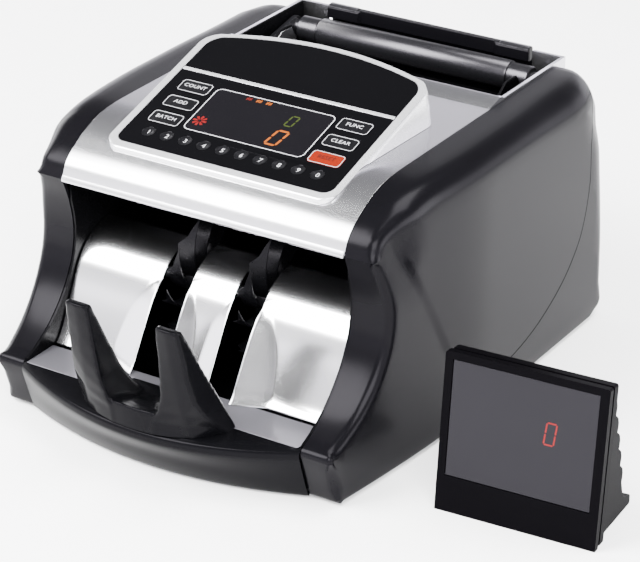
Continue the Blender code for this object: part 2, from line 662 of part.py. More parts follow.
def prong(name, side):
    """One fin of the stopper, from its wide root to its tip: (z, inner x, outer x, fronts, rear)."""
    levels = [(32.0, 18.0, 54.0, -71.0, -50.0, -36.0), (50.0, 21.0, 50.5, -71.5, -66.0, -50.0),
              (66.0, 22.5, 49.5, -73.5, -73.0, -59.0), (85.0, 22.5, 45.5, -76.0, -75.8, -67.0),
              (100.0, 22.7, 41.2, -78.0, -78.0, -73.0), (108.0, 23.5, 38.8, -79.0, -79.0, -75.2)]
    rows = []
    for z, inner, outer, front_in, front_out, rear in levels:
        loop = [(inner, front_in, z), (outer, front_out, z), (outer, rear, z), (inner, rear, z)]
        rows.append([(side * x, y, h) for x, y, h in loop])

    def build(work):
        made = [[work.verts.new(Vector(p) * MM) for p in row] for row in rows]
        for low, high in zip(made, made[1:]):
            for i in range(4):
                j = (i + 1) % 4
                work.faces.new((low[i], low[j], high[j], high[i]))
        work.faces.new(made[0][::-1])
        work.faces.new(made[-1])
        bmesh.ops.recalc_face_normals(work, faces=work.faces)
    return mesh_from(name, build)


def make_stopper():
    half = [(56.0 * math.cos(a), -42.0 - 31.0 * math.sin(a))
            for a in (math.pi * i / 20 for i in range(21))]
    footprint = half + [(-55.0, -36.0), (55.0, -36.0)]
    mesh = flat_mesh("note_stopper", [footprint], 22.0)
    stopper = place("note_stopper", mesh, "cover_black", (0, 0, 39.0), TOP_VIEW)
    for side, name in ((-1, "prong_left"), (1, "prong_right")):
        combine(stopper, cutter(name, prong(name, side)), "UNION")
    valley = [(-90.0, 47.5), (-71.0, 47.0), (-36.0, 39.0), (-30.0, 38.6), (-30.0, 54.0), (-90.0, 54.0)]
    middle = flat_mesh("stopper_valley", [valley], 42.0)
    combine(stopper, cutter("stopper_valley", middle, turn=SIDE_VIEW))
    tray = [(-100.0, tray_top(-100.0) + GAP), (FLOOR_FRONT - 0.3, FLOOR_Z + GAP),
            (0.0, FLOOR_Z + GAP), (0.0, 0.0), (-100.0, 0.0)]
    combine(stopper, cutter("tray_space", flat_mesh("tray_space", [tray], 240.0), turn=SIDE_VIEW))


def wheel_outline():
    """Impeller seen from the side: thin blades swept back from a hub, about the shaft."""
    hub, root, thick = 13.0, 15.0, 2.0
    loop = []
    for i in range(WHEEL_BLADES):
        start = 44.0 + 360.0 * i / WHEEL_BLADES
        lead, trail = [], []
        for k in range(5):
            t = k / 4
            radius = root + (WHEEL_R - root) * t
            angle = math.radians(start - WHEEL_SWEEP * t ** 1.15)
            half = thick * (1.1 - 0.45 * t) / radius
            lead.append((radius * math.cos(angle + half), radius * math.sin(angle + half)))
            trail.append((radius * math.cos(angle - half), radius * math.sin(angle - half)))
        loop += trail + lead[::-1]
        gap = math.radians(start + 180.0 / WHEEL_BLADES)
        loop.append((hub * math.cos(gap), hub * math.sin(gap)))
    return loop


def make_wheels():
    axis = (0, *WHEEL_AXIS)
    for side, name in ((-1, "impeller_left"), (1, "impeller_right")):
        mesh = flat_mesh(name, [wheel_outline(), circle((0.0, 0.0), SHAFT_R + 0.3, 16)], WHEEL_WIDTH)
        place(name, mesh, "wheel_black", (side * WHEEL_X, *WHEEL_AXIS), SIDE_VIEW)
    end, (belt_low, belt_high) = -101.5, PULLEY_X
    pulley = IMPELLER_PULLEY_R
    profile = [(0, belt_high + 2), (SHAFT_R, belt_high + 2), (SHAFT_R, belt_high), (pulley, belt_high),
               (pulley, belt_low), (SHAFT_R, belt_low), (SHAFT_R, end), (0, end)]
    turned("impeller_shaft", profile, "steel", axis, ALONG_X, steps=20)


# ---------------------------------------------------------------- drive

def roller(name, axis, radius, bands, pulley_r):
    """A shaft along X with raised bands at given places, and a pulley outside the right frame."""
    profile = [(0, PULLEY_X[1] + 2), (SHAFT_R, PULLEY_X[1] + 2)]
    if pulley_r:
        profile += [(SHAFT_R, PULLEY_X[1]), (pulley_r, PULLEY_X[1]), (pulley_r, PULLEY_X[0]),
                    (SHAFT_R, PULLEY_X[0])]
    else:
        profile = [(0, 102.0), (SHAFT_R, 102.0)]
    for low, high in bands:
        profile += [(SHAFT_R, high), (radius, high), (radius, low), (SHAFT_R, low)]
    profile += [(SHAFT_R, -101.5), (0, -101.5)]
    return turned(name, profile, "rubber", (0, *axis), ALONG_X, steps=24)


def hull(points):
    """Convex outline of a set of points, counterclockwise."""
    points = sorted(set(points))
    halves = []
    for ordered in (points, points[::-1]):
        chain = []
        for p in ordered:
            while len(chain) > 1:
                (ax, ay), (bx, by) = chain[-2], chain[-1]
                if (bx - ax) * (p[1] - ay) - (by - ay) * (p[0] - ax) > 0:
                    break
                chain.pop()
            chain.append(p)
        halves += chain[:-1]
    return halves


def make_drive():
    roller("feed_roller", FEED_AXIS, 16.0, [(58.0, 78.0), (-12.0, 12.0), (-78.0, -58.0)],
           FEED_PULLEY_R)
    roller("pickup_roller", PICKUP_AXIS, 14.5, [(23.0, 39.0), (-39.0, -23.0)], 0)
    pulleys = [(MOTOR_AXIS, MOTOR_PULLEY_R), (FEED_AXIS, FEED_PULLEY_R), (WHEEL_AXIS, IMPELLER_PULLEY_R)]
    loops = []
    for extra in (1.9, 0.4):
        loops.append(hull([p for axis, r in pulleys for p in circle(axis, r + extra, 32)]))
    width = PULLEY_X[1] - PULLEY_X[0] - 1.0
    place("drive_belt", flat_mesh("drive_belt", loops, width), "rubber",
          (sum(PULLEY_X) / 2, 0, 0), SIDE_VIEW)
    profile = [(0, 96.9), (SHAFT_R + 6, 96.9), (SHAFT_R + 6, 92.0), (19.0, 92.0), (19.0, 40.0), (0, 40.0)]
    turned("drive_motor", profile, "steel", (0, *MOTOR_AXIS), ALONG_X, steps=24)
    profile = [(0, PULLEY_X[1]), (MOTOR_PULLEY_R, PULLEY_X[1]), (MOTOR_PULLEY_R, PULLEY_X[0]),
               (3.0, PULLEY_X[0]), (3.0, 97.2), (0, 97.2)]
    turned("motor_pulley", profile, "steel", (0, *MOTOR_AXIS), ALONG_X, steps=24)
    board = box_mesh("main_board", (-105.0, 70.0, 14.0), (-103.4, 200.0, 120.0))
    place("main_board", board, "board_green")
    supply = box_mesh("power_supply", (-84.0, 196.0, 6.4), (-14.0, 254.0, 46.0))
    place("power_supply", supply, "steel")


def make_rear_fittings():
    inlet = place("power_inlet", box_mesh("power_inlet", (46.5, 246.0, 16.0), (73.5, 269.0, 36.0)),
                  "frame_black")
    flange = box_mesh("inlet_flange", (43.5, REAR_Y + GAP, 13.5), (76.5, 270.0, 38.5))
    combine(inlet, cutter("inlet_flange", flange), "UNION")
    socket = box_mesh("inlet_socket", (49.0, 252.0, 18.5), (71.0, 275.0, 33.5))
    combine(inlet, cutter("inlet_socket", socket))
    rocker = [(-3.4, -9.0), (2.0, -9.0), (4.4, 9.0), (-3.4, 9.0)]
    pivot = (32.0, REAR_Y - 1.0, 26.0)
    place("power_switch", flat_mesh("power_switch", [rocker], 12.0), "frame_black", pivot, SIDE_VIEW)
    jack = [(0, -10.0), (5.0, -10.0), (5.0, 1.2), (2.2, 1.2), (2.2, -6.0), (0, -6.0)]
    turned("display_jack", jack[::-1], "frame_black", (5.0, REAR_Y, 26.0), ALONG_Y, steps=20)
    knob = [(0, 7.0), (7.0, 7.0), (8.0, 6.0), (8.0, GAP), (3.0, GAP), (3.0, -7.0), (0, -7.0)]
    turned("gap_knob", knob, "frame_black", (-88.0, REAR_Y, 110.0), ALONG_Y, steps=20)


# ---------------------------------------------------------------- remote display

def make_remote():
    base = empty("remote_frame", (*REMOTE_AT, 0.0), MACHINE, (0.0, 0.0, REMOTE_TURN))
    leaning = empty("remote_leaning", (0, 0, 0), base, (-REMOTE_LEAN, 0.0, 0.0))
    half, deep, tall = REMOTE_SIZE[0] / 2, REMOTE_SIZE[1], REMOTE_SIZE[2]
    housing = place("remote_housing", box_mesh("remote_housing", (-half, 0.0, -4.0), (half, deep, tall)),
                    "remote_black", parent=leaning)
    groove = rounded_box(-70.0, -20.0, 70.0, 140.0, 4.0)
    neck = rounded_box(-half + 3.0, -12.0, half - 3.0, tall - 3.0, 1.0)
    ring = flat_mesh("remote_groove", [groove, neck], 3.4)
    combine(housing, cutter("remote_groove", ring, (0, 6.3, 0), FRONT_VIEW, leaning))
    recess = box_mesh("remote_recess", (-45.2, -5.0, 22.4), (44.6, 1.2, 93.8))
    combine(housing, cutter("remote_recess", recess, parent=leaning))
    window = box_mesh("remote_window", (-44.9, 0.35, 22.7), (44.3, 0.95, 93.5))
    place("remote_window", window, "window_smoke", parent=leaning)
    ground = box_mesh("remote_ground", (-80.0, -40.0, -20.0), (80.0, 100.0, 0.0))
    combine(housing, cutter("remote_ground", ground, parent=base))

    slope = math.tan(REMOTE_LEAN)
    back = deep / math.cos(REMOTE_LEAN) + GAP
    ribs = [(back + 92.0 * slope + 2.0, 92.0), (27.5, 84.0)]
    for i in range(5):
        centre_z = 77.0 - 12.5 * i
        centre_y = 29.5 + 3.4 * i
        ribs += [(centre_y + 2.2, centre_z + 3.0), (centre_y + 3.4, centre_z - 1.0),
                 (centre_y + 2.4, centre_z - 5.0)]
    foot = [(47.5, 14.0), (50.0, 9.0), (58.5, 7.0), (59.5, 4.5), (58.5, 0.0)]
    outline = [(back, 0.0), (back + 92.0 * slope, 92.0)] + ribs + foot
    stand = place("remote_stand", flat_mesh("remote_stand", [outline], 93.0), "remote_black",
                  turn=SIDE_VIEW, parent=base)
    inside = [(back - 5.0, 3.0), (back - 5.0 + 88.0 * slope, 88.0), (back + 88.0 * slope, 88.0),
              (26.5, 80.0), (44.0, 12.0), (44.0, 3.0)]
    combine(stand, cutter("stand_hollow", flat_mesh("stand_hollow", [inside], 88.0), turn=SIDE_VIEW,
                          parent=base))


clear_scene()
PARTS = new_collection("banknote_counter")
CUTTERS = new_collection("cutters")
MACHINE = empty("machine_frame", (*PLACE, 0.0))
make_casing()
make_chassis()
make_top_cover()
make_console()
make_hopper()
make_tray()
make_stacker()
make_stopper()
make_wheels()
make_drive()
make_rear_fittings()
make_remote()
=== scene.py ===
"""Looks of the banknote counter with its remote display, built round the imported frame.

Lengths are in millimetres in the machine's own frame (x right, y back, z up, y = 0 at the
front lower edge of the top cover), and become metres in the row frame through FRAME.
"""
import math

import bmesh
import bpy
from mathutils import Matrix, Vector


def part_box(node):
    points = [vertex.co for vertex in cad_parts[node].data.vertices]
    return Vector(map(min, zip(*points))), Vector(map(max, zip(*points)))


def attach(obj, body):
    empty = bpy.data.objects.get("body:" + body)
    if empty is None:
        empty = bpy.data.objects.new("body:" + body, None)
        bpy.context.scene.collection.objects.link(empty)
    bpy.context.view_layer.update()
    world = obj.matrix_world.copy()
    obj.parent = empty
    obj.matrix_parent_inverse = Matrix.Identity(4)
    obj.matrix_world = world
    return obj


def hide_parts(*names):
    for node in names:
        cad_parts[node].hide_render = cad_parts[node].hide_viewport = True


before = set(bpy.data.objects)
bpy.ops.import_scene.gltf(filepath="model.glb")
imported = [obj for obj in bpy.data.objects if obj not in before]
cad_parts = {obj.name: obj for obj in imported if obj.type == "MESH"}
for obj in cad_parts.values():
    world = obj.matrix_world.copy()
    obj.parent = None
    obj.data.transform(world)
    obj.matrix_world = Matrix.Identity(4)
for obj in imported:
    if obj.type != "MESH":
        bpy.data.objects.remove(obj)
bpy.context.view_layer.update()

MM = 0.001
_low, _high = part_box("top_cover")
FRAME = Matrix.Translation(((_low.x + _high.x) / 2, _low.y + 1.0 * MM, 0.0))

# The same driving sizes as the CAD model
BAY_HALF = 100.0
WALL = 2.4
CASE_BOTTOM = 2.0
DECK_Z = 171.5
REAR_Y = 268.0
REAR_BEND = 22.0
NOSE = (-1.0, 140.5)
TIP = (-47.5, 37.0)
FLOOR_Z = 37.0
FLOOR_FRONT = -46.0
SLOT = (15.6, 36.0)
WHEEL_AXIS = (40.0, 75.0)
WHEEL_X = 25.6
CONSOLE_AT = (0.0, 16.5, 163.4)
CONSOLE_SLOPE = math.radians(16.28)
POD_HALF = 79.5
OVERLAY_HALF = 76.2
KEY_X = 57.0
KEY_ROWS = (32.8, 49.0, 65.4)
KEY_SIZE = (22.0, 11.0)
NUMBER_PITCH = 13.3
NUMBER_ROW = 18.0
NUMBER_R = 4.3
HOPPER_FRONT = 167.0
HOPPER_MOUTH = 181.0
RIM_Z = 173.0
DOOR_HALF = 75.6
HANDLE_PIVOT = (190.0, 150.0)
HANDLE_BAR = (246.0, 161.0)
REMOTE_AT = (215.7, -5.1, 0.0)
REMOTE_TURN = math.radians(3.87)
REMOTE_LEAN = math.radians(6.67)
# A point of the side's slanted step, and the direction across it
STEP_AT = (38.1, 99.5)
STEP_RUN = (0.875, 0.484)
# Thickness of printed and lit marks
PRINT = 0.06
# Blades of a wheel: how many, where the first one starts, how far they sweep, and their root
BLADES = 12
BLADE_START = 175.8
BLADE_SWEEP = 42.0
BLADE_ROOT = 12.6

CONSOLE = FRAME @ Matrix.Translation(Vector(CONSOLE_AT) * MM) @ Matrix.Rotation(CONSOLE_SLOPE, 4, "X")
REMOTE = FRAME @ Matrix.Translation(Vector(REMOTE_AT) * MM) @ Matrix.Rotation(REMOTE_TURN, 4, "Z")
LEANING = REMOTE @ Matrix.Rotation(-REMOTE_LEAN, 4, "X")
SIDE_VIEW = Matrix.Rotation(math.pi / 2, 4, "Z") @ Matrix.Rotation(math.pi / 2, 4, "X")
FRONT_VIEW = Matrix.Rotation(math.pi / 2, 4, "X")
ALONG_X = Matrix.Rotation(math.pi / 2, 4, "Y")
ALONG_Y = Matrix.Rotation(-math.pi / 2, 4, "X")
SCENE = bpy.context.scene.collection


# ---- materials

def put(node, **values):
    """Sets a node's sockets by name, with _ for a space."""
    for name, value in values.items():
        node.inputs[name.replace("_", " ")].default_value = value


def ramp_between(nodes, low, high):
    ramp = nodes.new("ShaderNodeValToRGB")
    for stop, at, colour in zip(ramp.color_ramp.elements, (0.3, 0.7), (low, high)):
        stop.position = at
        stop.color = (*colour, 1.0)
    return ramp


def material(name, colour, roughness, metallic=0.0, coat=0.0, specular=0.5, mottle=0.12,
        spread=0.05, fine=900.0, bump=0.08, streak=(1.0, 1.0, 1.0)):
    """A moulded, painted or metal surface: its colour and gloss vary softly, with a fine grain.

    mottle is how far the colour varies, spread how far the roughness does, fine the grain's
    scale per metre and bump its depth; streak stretches the grain along one axis.
    """
    made = bpy.data.materials.new(name)
    made.use_nodes = True
    nodes, links = made.node_tree.nodes, made.node_tree.links
    shader = nodes["Principled BSDF"]
    put(shader, Metallic=metallic, Coat_Weight=coat, Coat_Roughness=0.08,
        Specular_IOR_Level=specular, Specular_Tint=(0.95, 0.91, 1.0, 1.0))
    place = nodes.new("ShaderNodeTexCoord")
    stretch = nodes.new("ShaderNodeMapping")
    put(stretch, Scale=streak)
    links.new(place.outputs["Object"], stretch.inputs["Vector"])
    broad = nodes.new("ShaderNodeTexNoise")
    put(broad, Scale=14.0, Detail=5.0)
    links.new(place.outputs["Object"], broad.inputs["Vector"])
    grain = nodes.new("ShaderNodeTexNoise")
    put(grain, Scale=fine, Detail=3.0)
    links.new(stretch.outputs["Vector"], grain.inputs["Vector"])
    ramp = ramp_between(nodes, [c * (1 - mottle) for c in colour],
            [min(c * (1 + mottle), 1.0) for c in colour])
    links.new(broad.outputs["Fac"], ramp.inputs["Fac"])
    links.new(ramp.outputs["Color"], shader.inputs["Base Color"])
    gloss = nodes.new("ShaderNodeMapRange")
    put(gloss, From_Min=0.3, From_Max=0.7, To_Min=max(roughness - spread, 0.02), To_Max=roughness + spread)
    links.new(grain.outputs["Fac"], gloss.inputs["Value"])
    links.new(gloss.outputs["Result"], shader.inputs["Roughness"])
    dent = nodes.new("ShaderNodeBump")
    put(dent, Strength=bump, Distance=0.0001)
    links.new(grain.outputs["Fac"], dent.inputs["Height"])
    links.new(dent.outputs["Normal"], shader.inputs["Normal"])
    return made


def glowing(name, colour, strength):
    """A lit segment: a dark lens whose own light is uneven, as the diffuser spreads it."""
    made = material(name, [0.01 * c + 0.001 for c in colour], 0.4, specular=0.15, mottle=0.2)
    nodes, links = made.node_tree.nodes, made.node_tree.links
    shader = nodes["Principled BSDF"]
    ramp = ramp_between(nodes, [0.8 * c for c in colour], colour)
    links.new(nodes["Noise Texture"].outputs["Fac"], ramp.inputs["Fac"])
    links.new(ramp.outputs["Color"], shader.inputs["Emission Color"])
    put(shader, Emission_Strength=strength)
    return made


M = {
    "cover": material("cover_black", (0.0019, 0.0018, 0.0023), 0.24, specular=0.042, spread=0.03,
        bump=0.03, fine=2500.0),
    "frame": material("frame_black", (0.0012, 0.0012, 0.0014), 0.28, specular=0.03, bump=0.05, fine=1500.0),
    "satin": material("satin_black", (0.003, 0.003, 0.0035), 0.3, specular=0.45, spread=0.04, bump=0.03,
        fine=1800.0),
    "tray": material("tray_black", (0.0012, 0.0012, 0.0015), 0.25, specular=0.032, spread=0.03, bump=0.03,
        fine=2500.0),
    "silver": material("silver_paint", (0.52, 0.52, 0.535), 0.24, metallic=1.0, coat=0.05, mottle=0.03,
        spread=0.03, fine=2600.0, bump=0.02),
    "bezel": material("bezel_silver", (0.66, 0.66, 0.675), 0.26, metallic=0.7, coat=0.1, mottle=0.03,
        spread=0.03, fine=2600.0, bump=0.02),
    "deflector": material("deflector_silver", (0.72, 0.72, 0.73), 0.17, metallic=1.0, mottle=0.02,
        spread=0.02, fine=1800.0, bump=0.0),
    "floor": material("stacker_floor_grey", (0.085, 0.083, 0.093), 0.34, metallic=0.5, mottle=0.05,
        fine=1800.0, bump=0.03),
    "gloss": material("overlay_gloss", (0.001, 0.001, 0.0012), 0.08, specular=0.22, mottle=0.1,
        spread=0.02, fine=500.0, bump=0.005),
    "window": material("display_window", (0.0026, 0.0024, 0.003), 0.15, specular=0.25, mottle=0.1,
        spread=0.03, fine=500.0, bump=0.005),
    "key": material("key_black", (0.0014, 0.0014, 0.0017), 0.3, specular=0.2, mottle=0.1, spread=0.03,
        fine=700.0, bump=0.01),
    "orange": material("key_orange", (0.1, 0.006, 0.001), 0.3, specular=0.12, mottle=0.06, fine=900.0,
        bump=0.03),
    "ink": material("label_ink", (0.3, 0.3, 0.31), 0.5, specular=0.2, mottle=0.06, fine=2000.0, bump=0.02),
    "red_ink": material("label_red", (0.012, 0.001, 0.0006), 0.5, specular=0.2, mottle=0.06, fine=2000.0,
        bump=0.02),
    "blade": material("blade_rubber", (0.0014, 0.0014, 0.0017), 0.3, specular=0.08, mottle=0.2,
        spread=0.06, fine=1500.0, bump=0.08),
    "rubber": material("rubber", (0.005, 0.005, 0.005), 0.7, specular=0.3, mottle=0.25, spread=0.08,
        fine=1500.0, bump=0.3),
    "steel": material("steel", (0.42, 0.42, 0.43), 0.28, metallic=1.0, mottle=0.06, spread=0.08,
        fine=900.0, bump=0.1, streak=(0.05, 1.0, 1.0)),
    "board": material("board_green", (0.012, 0.07, 0.028), 0.38, mottle=0.25, fine=700.0, bump=0.15),
    "remote": material("remote_charcoal", (0.0011, 0.001, 0.0013), 0.4, specular=0.008, mottle=0.1,
        spread=0.05, fine=2200.0, bump=0.15),
    "smoke": material("window_smoke", (0.0034, 0.0032, 0.0042), 0.22, specular=0.11, mottle=0.08,
        spread=0.03, fine=900.0, bump=0.01),
    "amber": glowing("segments_amber", (0.95, 0.21, 0.004), 1.6),
    "green": glowing("segments_green", (0.07, 0.10, 0.008), 2.0),
    "red": glowing("segments_red", (0.8, 0.006, 0.003), 1.0),
    "dim_red": glowing("icon_red", (0.4, 0.018, 0.006), 1.4),
}


# ---- making pieces

def mesh_from(name, build):
    work = bmesh.new()
    build(work)
    mesh = bpy.data.meshes.new(name)
    work.to_mesh(mesh)
    work.free()
    return mesh


def moved(x, y, z):
    return Matrix.Translation((x, y, z))


def evaluated(holder):
    """A new mesh of an object, as its modifiers or its curve shape it."""
    bpy.context.view_layer.update()
    graph = bpy.context.evaluated_depsgraph_get()
    return bpy.data.meshes.new_from_object(holder.evaluated_get(graph))


def mesh_of(curve):
    holder = bpy.data.objects.new(curve.name, curve)
    SCENE.objects.link(holder)
    mesh = evaluated(holder)
    bpy.data.objects.remove(holder, do_unlink=True)
    return mesh


def shade(mesh, smooth):
    """Smooth shading, apart from edges sharper than so many degrees; 0 leaves it flat."""
    if smooth:
        mesh.shade_smooth()
        mesh.set_sharp_from_angle(angle=math.radians(smooth))


def modify(piece, kind, **settings):
    change = piece.modifiers.new(kind.lower(), kind)
    for key, value in settings.items():
        setattr(change, key, value)
    return piece


def thing(name, mesh, look=None, where=FRAME, smooth=35.0):
    """An object from a mesh in millimetres, placed in the row frame."""
    mesh.transform(Matrix.Scale(MM, 4))
    made = bpy.data.objects.new(name, mesh)
    made.matrix_world = where
    if look:
        mesh.materials.clear()
        mesh.materials.append(M[look])
    shade(mesh, smooth)
    SCENE.objects.link(made)
    return made


def bevel(piece, width, segments=3, angle=35.0):
    return modify(piece, "BEVEL", width=width * MM, segments=segments, limit_method="ANGLE",
            angle_limit=math.radians(angle))


def thicken(piece, thickness):
    return modify(piece, "SOLIDIFY", thickness=thickness * MM, offset=-1.0, use_even_offset=True)


def settle(piece, smooth=35.0):
    """Replaces the piece's mesh with its evaluated one, and drops the modifiers."""
    mesh = evaluated(piece)
    piece.modifiers.clear()
    piece.data = mesh
    shade(mesh, smooth)
    return piece


def combine(piece, meshes, operation="DIFFERENCE", where=FRAME):
    """Cuts away or joins throwaway shapes, which are in the given frame."""
    helpers = [thing("helper", mesh, None, where, smooth=0) for mesh in meshes]
    for helper in helpers:
        modify(piece, "BOOLEAN", object=helper, operation=operation, solver="EXACT")
    settle(piece)
    for helper in helpers:
        bpy.data.objects.remove(helper, do_unlink=True)
    return piece


def done(piece, body, *nodes, slot=None):
    """The piece rides on a body, and stands for the named nodes."""
    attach(piece, body)
    if nodes:
        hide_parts(*nodes)
    return piece


def box(name, low, high):
    size, centre = Vector(high) - Vector(low), (Vector(high) + Vector(low)) / 2

    def build(work):
        shape = Matrix.Translation(centre) @ Matrix.Diagonal((*size, 1.0))
        bmesh.ops.create_cube(work, size=1.0, matrix=shape)
    return mesh_from(name, build)


def rod(name, radius, length, turn, at, sides=48):
    def build(work):
        bmesh.ops.create_cone(work, cap_ends=True, segments=sides, radius1=radius, radius2=radius,
                depth=length, matrix=Matrix.Translation(at) @ turn)
    return mesh_from(name, build)


def flat(name, loops, thickness, turn=Matrix.Identity(4)):
    """A flat outline with holes, as thick as said, centred on its own plane and then turned."""
    curve = bpy.data.curves.new(name, "CURVE")
    curve.dimensions = "2D"
    curve.fill_mode = "BOTH"
    curve.extrude = thickness / 2
    for loop in loops:
        spline = curve.splines.new("POLY")
        spline.points.add(len(loop) - 1)
        spline.use_cyclic_u = True
        for point, (a, b) in zip(spline.points, loop):
            point.co = (a, b, 0.0, 1.0)
    mesh = mesh_of(curve)
    work = bmesh.new()
    work.from_mesh(mesh)
    bmesh.ops.remove_doubles(work, verts=work.verts, dist=0.001)
    bmesh.ops.recalc_face_normals(work, faces=work.faces)
    bmesh.ops.transform(work, matrix=turn, verts=work.verts)
    work.to_mesh(mesh)
    work.free()
    return mesh


def strip(work, near, far):
    for j in range(len(near) - 1):
        work.faces.new((near[j], near[j + 1], far[j + 1], far[j]))


def grid(name, rows):
    def build(work):
        made = [[work.verts.new(p) for p in row] for row in rows]
        for near, far in zip(made, made[1:]):
            strip(work, near, far)
    return mesh_from(name, build)


def loft(name, rings):
    """A closed solid through rings of points, with flat ends."""
    def build(work):
        made = [[work.verts.new(p) for p in ring] for ring in rings]
        for low, high in zip(made, made[1:]):
            for i in range(len(low)):
                j = (i + 1) % len(low)
                work.faces.new((low[i], low[j], high[j], high[i]))
        work.faces.new(made[0][::-1])
        work.faces.new(made[-1])
        bmesh.ops.recalc_face_normals(work, faces=work.faces)
    return mesh_from(name, build)


def turned(name, profile, turn, at, steps=64):
    """A turned solid: (radius, height) points from one end to the other, about local Z."""
    rings = []
    for k in range(steps):
        angle = 2 * math.pi * k / steps
        rings.append([(r * math.cos(angle), r * math.sin(angle), h) for r, h in profile])

    def build(work):
        made = [[work.verts.new(p) for p in ring] for ring in rings]
        for k in range(steps):
            strip(work, made[k], made[(k + 1) % steps])
        bmesh.ops.remove_doubles(work, verts=work.verts, dist=0.001)
        bmesh.ops.recalc_face_normals(work, faces=work.faces)
        bmesh.ops.transform(work, matrix=Matrix.Translation(at) @ turn, verts=work.verts)
    return mesh_from(name, build)


def smooth_path(points, steps):
    """A Catmull-Rom curve through the points, with so many steps between each two."""
    first = tuple(2 * a - b for a, b in zip(points[0], points[1]))
    last = tuple(2 * a - b for a, b in zip(points[-1], points[-2]))
    known = [Vector(p) for p in [first, *points, last]]
    path = []
    for p0, p1, p2, p3 in zip(known, known[1:], known[2:], known[3:]):
        for step in range(steps):
            t = step / steps
            path.append(0.5 * (2 * p1 + (p2 - p0) * t + (2 * p0 - 5 * p1 + 4 * p2 - p3) * t ** 2
                    + (3 * p1 - p0 - 3 * p2 + p3) * t ** 3))
    return [tuple(p) for p in path + [known[-2]]]


def arc(centre, radius, start, end, steps):
    angles = [math.radians(start + (end - start) * i / steps) for i in range(steps + 1)]
    return [(centre[0] + radius * math.cos(a), centre[1] + radius * math.sin(a)) for a in angles]


def circle(centre, radius, sides=40):
    return arc(centre, radius, 0, 360 - 360 / sides, sides - 1)


def rounded_box(x_low, y_low, x_high, y_high, radius, steps=8):
    corners = [((x_high - radius, y_low + radius), -90), ((x_high - radius, y_high - radius), 0),
            ((x_low + radius, y_high - radius), 90), ((x_low + radius, y_low + radius), 180)]
    return [p for centre, start in corners for p in arc(centre, radius, start, start + 90, steps)]


def ease(t):
    t = min(max(t, 0.0), 1.0)
    return t * t * (3 - 2 * t)


# ---- casing

FRONT_CURVE = [TIP, (-36.0, 42.0), (-22.0, 50.5), (-9.5, 62.5), (0.0, 76.0), (6.0, 90.0),
        (8.0, 106.0), (5.0, 124.0), NOSE]
TOP_CURVE = [NOSE, (2.8, 149.3), (8.2, 154.7), (15.2, 159.2), (25.7, 164.9), (37.4, 169.0),
        (51.2, 171.0), (66.0, DECK_Z)]
SEAM = [(252.0, 176.0), (250.0, 171.0), (245.5, 160.0), (240.5, 146.0), (237.5, 127.0),
        (237.0, 104.0), (231.0, 80.0), (222.0, 64.0), (204.0, 47.0), (178.0, 33.0), (152.0, 25.0),
        (120.0, 20.5), (100.0, 16.0), (88.0, 8.0), (84.0, -4.0)]


def casing_outline():
    """Side outline of the casing, clockwise from its front foot, as (y, z, edge radius, set-back)."""
    outline = [(-33.0, CASE_BOTTOM, 3.0, 0.0)]
    outline += [(y, z, 3.2, 0.0) for y, z in arc((-34.6, CASE_BOTTOM + 4.0), 4.0, 250, 195, 5)]
    outline += [(-40.3, 11.0, 6.0, 0.0), (-42.6, 18.0, 6.0, 0.0), (-44.9, 25.0, 6.0, 0.0)]
    outline += [(y, z, 6.0, 0.0) for y, z in arc((-43.1, 33.6), 4.4, 195, 112, 8)]
    for y, z in smooth_path([outline[-1][:2], (-36.0, 41.7)] + FRONT_CURVE[2:], 6)[1:-1]:
        height = min(max((z - TIP[1]) / (NOSE[1] - TIP[1]), 0.0), 1.0)
        outline.append((y, z, 6.0, 0.6 * math.sin(math.pi * height)))
    for y, z in smooth_path(TOP_CURVE, 4):
        outline.append((y, z, 6.5 + 9.0 * ease((y + 1.0) / 40.0), 0.0))
    for y in range(80, 231, 15):
        outline.append((float(y), DECK_Z, 15.5 + 2.0 * ease((y - 150.0) / 60.0), 0.0))
    corner = arc((REAR_Y - REAR_BEND, DECK_Z - REAR_BEND), REAR_BEND, 90, 0, 12)
    outline += [(y, z, 17.5 + 4.0 * (i / 12), 0.0) for i, (y, z) in enumerate(corner)]
    for z in range(137, 20, -8):
        radius = 11.0 + 5.0 * ease(z / 80.0) + 10.0 * ease((z - 50.0) / 90.0)
        outline.append((REAR_Y, float(z), radius, 0.0))
    corner = arc((REAR_Y - 10.0, CASE_BOTTOM + 10.0), 10.0, 0, -90, 6)
    outline += [(y, z, 7.5, 0.0) for y, z in corner]
    for y in range(250, -25, -15):
        outline.append((float(y), CASE_BOTTOM, 3.0, 0.0))
    # No edge is rounder than its place in the outline has room for
    points = [Vector(p[:2]) for p in outline]
    fitted = []
    for i, (y, z, radius, setback) in enumerate(outline):
        along = (points[(i + 1) % len(points)] - points[i - 1]).normalized()
        inward = Vector((along.y, -along.x))
        room = 50.0
        for other in points:
            apart = other - points[i]
            if apart.dot(inward) > 1e-6:
                room = min(room, apart.length_squared / (2 * apart.dot(inward)))
        fitted.append((y, z, min(radius, 0.8 * room), min(setback, 0.5 * room)))
    return fitted


def side_x(y, z):
    """Half width of the casing at a place on its side: a proud panel behind a slanted step."""
    along = min(max((y + 38.0) / 110.0, 0.0), 1.0)
    front = 120.1 + 5.8 * along + 5.8 * math.sin(math.pi / 2 * along) - 5.8 * ease((z - 105.0) / 45.0)
    panel = 126.5 + 7.0 * ease(y / 110.0) + 1.5 * math.sin(math.pi * min(max(z / 170.0, 0.0), 1.0))
    panel -= 13.0 * ease((y - 232.0) / 36.0) * ease((z - 118.0) / 50.0)
    behind_step = STEP_RUN[0] * (y - STEP_AT[0]) + STEP_RUN[1] * (z - STEP_AT[1])
    return front + (panel - front) * ease(behind_step / (7.5 + 20.0 * ease((z - 126.0) / 28.0)))


